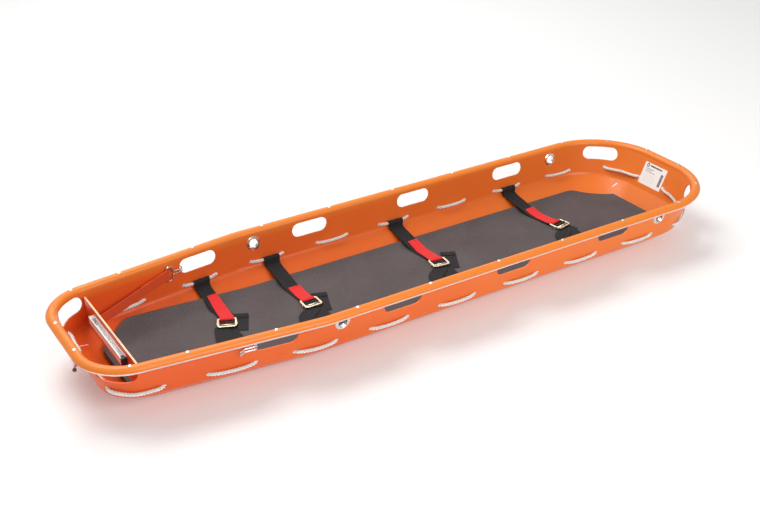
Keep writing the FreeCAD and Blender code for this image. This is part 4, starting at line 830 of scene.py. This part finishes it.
def add_ribbon(name, rows, finish, seed, thick=WEB_THICK, step=4.0, body="basket"):
    """Webbing through rows of (centre, across, width, ripple) in millimetres."""
    rows = smooth_rows(rows, step)
    shares = [-1.0, -0.97] + [lerp(-0.9, 0.9, k / 10) for k in range(11)] + [0.97, 1.0]
    fat = [0.35, 0.8] + [1.0] * 11 + [0.8, 0.35]
    points, uvs, faces = [], [], []
    along = 0.0
    count = len(shares)
    centres = [row[0] for row in rows]
    for index, (centre, across, width, ripple) in enumerate(rows):
        if index:
            along += (centre - centres[index - 1]).length
        way = way_at(centres, index)
        across = (across - way * across.dot(way)).normalized()
        normal = way.cross(across)
        thin = 0.55 if index in (0, len(rows) - 1) else 1.0
        for side in (1, -1):
            for share, full in zip(shares, fat):
                wave = ripple * sin(7.5 * share + seed + 0.012 * along) * (0.6 + 0.4 * cos(3.1 * share))
                flutter = 0.35 * noise.noise(Vector((share * 1.3 + seed, along / 45.0, 2.0)))
                proud = wave + flutter + side * full * thin * thick / 2
                points.append((centre + across * (share * width / 2) + normal * proud) * MM)
                uvs.append((share * width / 2 * MM, along * MM))
    ring = 2 * count
    for index in range(len(rows) - 1):
        a, b = index * ring, (index + 1) * ring
        for k in range(count - 1):
            faces.append((a + k, b + k, b + k + 1, a + k + 1))
            faces.append((a + count + k + 1, b + count + k + 1, b + count + k, a + count + k))
        faces.append((a, a + count, b + count, b))
        faces.append((a + count - 1, b + count - 1, b + 2 * count - 1, a + 2 * count - 1))
    for start, flip in ((0, False), ((len(rows) - 1) * ring, True)):
        for k in range(count - 1):
            face = (start + k, start + k + 1, start + count + k + 1, start + count + k)
            faces.append(face[::-1] if flip else face)
    return add_mesh(name, points, faces, finish, body, uvs)


def add_stitches(name, runs, finish):
    """Rows of short thread stitches; each run is a start, an end and the outward way."""
    points, faces = [], []
    for start, end, out in runs:
        way = (end - start).normalized()
        side = way.cross(out).normalized()
        place = 0.0
        while place + STITCH <= (end - start).length:
            faces += tube_faces(len(points), len(THREAD_RINGS), THREAD_SIDES)
            for along, rise, size in THREAD_RINGS:
                centre = start + way * (place + along * STITCH) + out * rise
                for k in range(THREAD_SIDES):
                    angle = TURN * k / THREAD_SIDES
                    points.append((centre + (side * cos(angle) + out * sin(angle)) * THREAD_RADIUS * size) * MM)
            place += STITCH + STITCH_GAP
    add_mesh(name, points, faces, finish)


def buckle_across(strap):
    """Level way across the strap at its buckle."""
    turn = radians(strap.degrees)
    return Vector((cos(turn), sin(turn), 0.0))


def on_buckle(strap, across, along, z):
    """Point given across the buckle and along it, towards its far bar, at height z."""
    turn = radians(strap.degrees)
    return Vector((strap.buckle_x + across * cos(turn) - along * sin(turn),
                   strap.buckle_y + across * sin(turn) + along * cos(turn), z))


def wall_rows(x, side):
    """Rows of webbing that hangs from the rope at the wall."""
    rope = wall_place("side", x, ROPE_Z, ROPE_INSIDE)
    lean = ALONG_X if x > RIM_BEND_X else TAPER_WAY
    rows = []
    for inwards, up, width, ripple in ROUND_THE_ROPE:
        centre = Vector((x, rope.y - inwards, rope.z + up))
        rows.append([centre, lean.copy(), width, ripple] if side > 0 else
                    [mirrored(centre), mirrored(lean), width, ripple])
    return rows


def webbing_place(x, end, y, side):
    """Middle of a taut strap at y, on its way from the rope down to the pad and the buckle."""
    top = abs(wall_place("side", x, ROPE_Z, ROPE_INSIDE).y) - 8.5
    share = (top - abs(y)) / (top - abs(end.y) if side * end.y > 0 else top + abs(end.y))
    rise = (abs(y) - LANDING) * (ROPE_Z - 18.0 - WEB_Z) / (top - LANDING)
    lift = (rise + sqrt(rise ** 2 + 9.0)) / 2
    return Vector((lerp(x, end.x, share ** 0.9), y, WEB_Z + 0.5 + lift))


def add_far_strap(number, strap):
    """Webbing from the rope's far run to the buckle's far bar, under the red tab."""
    rows = wall_rows(strap.far_x, 1)
    across = buckle_across(strap)
    mouth = on_buckle(strap, 0.0, 46.0, WEB_Z)
    top = rows[-1][0].y - 14.0
    for share in (0.0, 0.2, 0.4, 0.6, 0.8):
        spot = webbing_place(strap.far_x, mouth, lerp(top, mouth.y + 8.0, share), 1)
        rows.append([spot, ALONG_X.lerp(across, share), 47.0 - 2.0 * share, 1.2 * (1 - share) + 0.2])
    for along, rise, width, ripple in ((46.0, 2.8, 45.0, 0.3), (30.0, 3.0, 44.0, 0.2), (21.0, 2.6, 43.0, 0.0),
                                       (13.0, 1.2, 43.0, 0.0)):
        rows.append([on_buckle(strap, 0.0, along, WEB_Z + rise), across, width, ripple])
    piece = add_ribbon("restraint_%d_far" % number, rows, BLACK_WEB, number * 1.7)
    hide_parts("strap_%d_left" % number)


def tab_rows(strap):
    """Rows of the red tab, from its tip to the loop round the buckle's far bar."""
    across = buckle_across(strap)
    mouth = on_buckle(strap, 0.0, 46.0, 0.0)
    tip_width = min(TAB_WIDTH, 0.17 * (380.0 - strap.tab_reach))
    rows = []
    for share in (0.0, 0.25, 0.5, 0.75):
        spot = webbing_place(strap.far_x, mouth, lerp(strap.tab_reach, mouth.y + 4.0, share), 1)
        spot += Vector((TAB_ASIDE * (1 - share), 0.0, 2.6 + 1.6 * share))
        rows.append([spot, ALONG_X.lerp(across, share), lerp(tip_width, TAB_WIDTH, share), 0.25])
    for along, z, width in ((34.0, 39.6, 40.0), (26.0, 43.0, 41.0), (20.6, 45.2, 42.0), (16.2, 43.4, 42.0),
                            (15.6, 40.4, 42.0), (18.5, 38.6, 41.0), (25.0, 37.8, 40.0)):
        rows.append([on_buckle(strap, 0.0, along, z), across, width, 0.1])
    return rows


def add_red_tab(number, strap):
    """The red tab, box-stitched to the strap at its tip."""
    rows = tab_rows(strap)
    piece = add_ribbon("red_tab_%d" % number, rows, RED_WEB, number * 0.9, step=3.0)
    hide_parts("strap_%d_tab" % number)
    tip, across = rows[0][:2]
    way = (rows[1][0] - tip).normalized()
    out = across.cross(way).normalized()
    if out.z < 0:
        out = -out
    half, proud = 16.0, 1.25
    runs = []
    for inset in (5.0, 30.0):
        centre = tip + way * inset
        lift = out * proud
        runs.append((centre - across * half + lift, centre + across * half + lift, out))
    for aside in (-half, half):
        start = tip + way * 5.0 + across * aside
        runs.append((start + UP * proud, start + way * 25.0 + UP * proud, UP))
    add_stitches("red_tab_%d_stitching" % number, runs, RED_THREAD)


SECOND_LEGS = (  # two places on each slack second layer, from the buckle to the near wall
    ((-632.0, -33.0), (-646.0, -100.0)),
    ((-372.0, -40.0), (-384.0, -100.0)),
    ((82.0, -48.0), (72.0, -104.0)),
    ((588.0, -48.0), (572.0, -104.0)),
)
TAILS = (  # each free tail's start under the buckle, its end, and the way along the end's edge
    ((-566.0, 6.0), (-528.0, 84.0), (40.0, -27.0)),
    ((-307.0, -28.0), (-274.0, 64.0), (46.0, -28.0)),
    ((161.0, -22.0), (205.0, 66.0), (40.0, -27.0)),
    ((650.0, -32.0), (629.0, 55.0), (46.0, 10.0)),
)
TAIL_WIDTH, HEM_WIDTH, HEM_THICK, HEM_LENGTH = 49.0, 48.4, 1.8, 22.0


def add_near_strap(number, strap):
    """Webbing from the rope's near run over the buckle's lock bar, and its slack second layer."""
    x = strap.near_x
    across = buckle_across(strap)
    rows = wall_rows(x, -1)
    mouth = on_buckle(strap, 5.0, -38.0, WEB_Z)
    top = rows[-1][0].y + 14.0
    for share in (0.0, 0.25, 0.5, 0.75, 1.0):
        spot = webbing_place(x, mouth, lerp(top, mouth.y, share), -1)
        rows.append([spot, ALONG_X.lerp(across, share), 46.0, 1.0 * (1 - share) + 0.2])
    for along, z in ((-28.0, 35.5), (-19.0, 37.0), (-11.0, 40.2), (-5.5, 43.2), (0.0, 44.2), (4.6, 42.0),
                     (6.0, 38.5), (4.0, 35.6), (-4.0, 34.6)):
        rows.append([on_buckle(strap, 0.0, along, z), across, 44.0, 0.0])
    piece = add_ribbon("restraint_%d_near" % number, rows, BLACK_WEB, number * 2.3)
    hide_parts("strap_%d_right" % number)

    first, second = SECOND_LEGS[number - 1]
    spots = [on_buckle(strap, -12.0, -20.5, WEB_Z + 2.3), on_buckle(strap, -14.0, -34.0, WEB_Z + 3.0),
             Vector((*first, WEB_Z + 2.4)), Vector((*second, WEB_Z + 0.6)), Vector((x - 26.0, -150.0, WEB_Z + 5.0))]
    leg = [[spot, left_of(way_at(spots, index)).normalized(), 46.0, 0.5] for index, spot in enumerate(spots)]
    for y in (-186.0, -214.0):
        spot = webbing_place(x, mouth, y, -1) + Vector((-13.0, 0.0, 2.8))
        leg.append([spot, ALONG_X.copy(), 45.0, 0.6])
    add_ribbon("restraint_%d_return" % number, leg, BLACK_WEB, number * 3.1)


def add_tail(number):
    """The free tail from under the buckle, with a folded and stitched end."""
    (sx, sy), (ex, ey), edge = TAILS[number - 1]
    end_across = Vector((*edge, 0.0)).normalized()
    start, end = Vector((sx, sy, WEB_Z - 0.1)), Vector((ex, ey, WEB_Z + 1.6))
    way = (end - start).normalized()
    start_across = Vector((way.y, -way.x, 0.0)).normalized()
    tail = []
    for share, rise in ((0.0, 0.0), (0.3, 0.0), (0.55, 0.3), (0.8, 1.8), (1.0, 3.4)):
        spot = start.lerp(end, share)
        spot.z = WEB_Z - 0.2 + rise
        tail.append([spot, start_across.lerp(end_across, share), TAIL_WIDTH, 0.2 + 0.5 * share])
    add_ribbon("restraint_%d_tail" % number, tail, BLACK_WEB, number * 4.3)
    back, tip_z = end - way * HEM_LENGTH, tail[-1][0].z
    hem = [[Vector((back.x, back.y, tail[-2][0].z + 1.9)), end_across.copy(), HEM_WIDTH, 0.4],
           [Vector((end.x, end.y, tip_z + 2.0)) - way * 1.0, end_across.copy(), HEM_WIDTH, 0.6]]
    add_ribbon("restraint_%d_hem" % number, hem, BLACK_WEB, number * 4.3, HEM_THICK)
    runs = []
    for inset in (5.0, 17.0):
        centre = Vector((end.x, end.y, tip_z + 3.2 - inset * 0.06)) - way * inset
        runs.append((centre - end_across * 22, centre + end_across * 22, UP))
    add_stitches("restraint_%d_hem_stitching" % number, runs, BLACK_THREAD)


# ---------------- buckle frames

BUCKLE_Z, FLANGE_X, FLANGE_Z = 42.0, 26.6, 38.4


def swept_ring(path, section):
    """Closed sweep of a section (outwards, up) along a closed level path."""
    points, faces = [], []
    count, size = len(path), len(section)
    for index, spot in enumerate(path):
        way = (path[(index + 1) % count] - path[index - 1]).normalized()
        out = Vector((way.y, -way.x, 0.0))
        for across, up in section:
            points.append(spot + out * across + UP * up)
    for index in range(count):
        for k in range(size):
            a, b = index * size + k, index * size + (k + 1) % size
            c, d = ((index + 1) % count) * size + (k + 1) % size, ((index + 1) % count) * size + k
            faces.append((a, d, c, b))
    return points, faces


def rounded_outline(half_width, low, high, radius, steps):
    """Places round a rectangle with rounded corners, centred across."""
    made = []
    for cx, cy, start in ((half_width - radius, high - radius, 0), (-half_width + radius, high - radius, 90),
                          (-half_width + radius, low + radius, 180), (half_width - radius, low + radius, 270)):
        for step in range(steps + 1):
            angle = radians(start + 90 * step / steps)
            made.append((cx + radius * cos(angle), cy + radius * sin(angle)))
    return made


def rounded_section(width, height, round_by):
    """Outline of a bar's section about its own middle."""
    return rounded_outline(width / 2, -height / 2, height / 2, round_by, 3)


def add_buckle(number, strap):
    """Stamped frame: rounded ring with a raised lip, a cross bar and two side flanges."""
    ring = [Vector((x, y, BUCKLE_Z)) for x, y in rounded_outline(26.0, -22.0, 22.0, 7.0, 8)]
    points, faces = swept_ring(ring, rounded_section(6.4, 2.8, 1.1))

    def bar(start, end, width, height):
        section = rounded_section(width, height, min(width, height) * 0.4)
        way = (end - start).normalized()
        side = way.cross(UP)
        above = side.cross(way)
        base, size = len(points), len(section)
        points.extend(spot + side * a + above * b for spot in (start, end) for a, b in section)
        skin = [(k, (k + 1) % size, size + (k + 1) % size, size + k) for k in range(size)]
        skin += [tuple(reversed(range(size))), tuple(range(size, 2 * size))]
        faces.extend(tuple(k + base for k in face) for face in skin)

    for x in (-FLANGE_X, FLANGE_X):
        bar(Vector((x, -17.0, FLANGE_Z)), Vector((x, 17.0, FLANGE_Z)), 2.2, 7.6)
    bar(Vector((-25.0, -12.5, BUCKLE_Z)), Vector((25.0, -12.5, BUCKLE_Z)), 4.4, 2.4)
    turn = Matrix.Rotation(radians(strap.degrees), 4, "Z")
    place = Vector((strap.buckle_x, strap.buckle_y, 0.0))
    spots = [(turn @ p + place) * MM for p in points]
    piece = add_mesh("buckle_%d_stamped_frame" % number, spots, faces, BUCKLE)
    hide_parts("buckle_%d_frame" % number)


# ---------------- foot-rest webbing

REST_WIDTH = 31.0
REST_LEG = ((-938.8, 99.0, 104.5), (-938.8, 120.0, 104.5), (-938.4, 138.0, 104.5), (-935.3, 148.0, 106.0))
HOOK_X, HOOK_Z = -639.5, 146.0
LOOP_RADIUS = 4.4


def add_rest_strap(side, word):
    """Sewn leg flat on the board, then out to the hook's base, round it and back."""
    wall = wall_place("side", HOOK_X, HOOK_Z, 0.0)
    base = wall - TAPER_WAY * 46.0 + left_of(TAPER_WAY) * -9.0
    spots = [Vector(place) for place in REST_LEG]
    spots += [spots[-1].lerp(base, share) for share in (0.35, 0.7, 0.93)]
    rows = [[Vector((spot.x, side * spot.y, spot.z)), UP.copy(), REST_WIDTH, 0.25] for spot in spots]
    way = (rows[-1][0] - rows[-2][0]).normalized()
    flat = Vector((way.x, way.y, 0.0)).normalized()
    out = left_of(flat)
    centre = Vector((base.x, side * base.y, base.z))
    for angle in (-60, 0, 60, 120, 180, 230):
        turn = radians(angle)
        spot = centre + (flat * cos(turn) + out * sin(turn) * side) * LOOP_RADIUS
        rows.append([spot, UP.copy(), REST_WIDTH, 0.0])
    back = centre.lerp(rows[len(REST_LEG)][0], 0.55) + out * side * 3.2
    rows.append([back, UP.copy(), REST_WIDTH, 0.2])
    piece = add_ribbon("foot_rest_strap_" + word, rows, ORANGE_WEB, side * 1.1, step=3.0,
                       body="footrest")
    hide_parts("footrest_strap_" + word)


# ---------------- assemble

add_camera()
ROPE_PIECE, ROPE_PATH = add_rope()
KNOT, SEALED = add_knot(ROPE_PATH[0])
YARN = add_loose_yarn()
add_studio()
finish_frame()
add_pad()
for count, each in enumerate(STRAPS, start=1):
    add_far_strap(count, each)
    add_red_tab(count, each)
    add_near_strap(count, each)
    add_tail(count)
    add_buckle(count, each)
add_rest_strap(1, "left")
add_rest_strap(-1, "right")
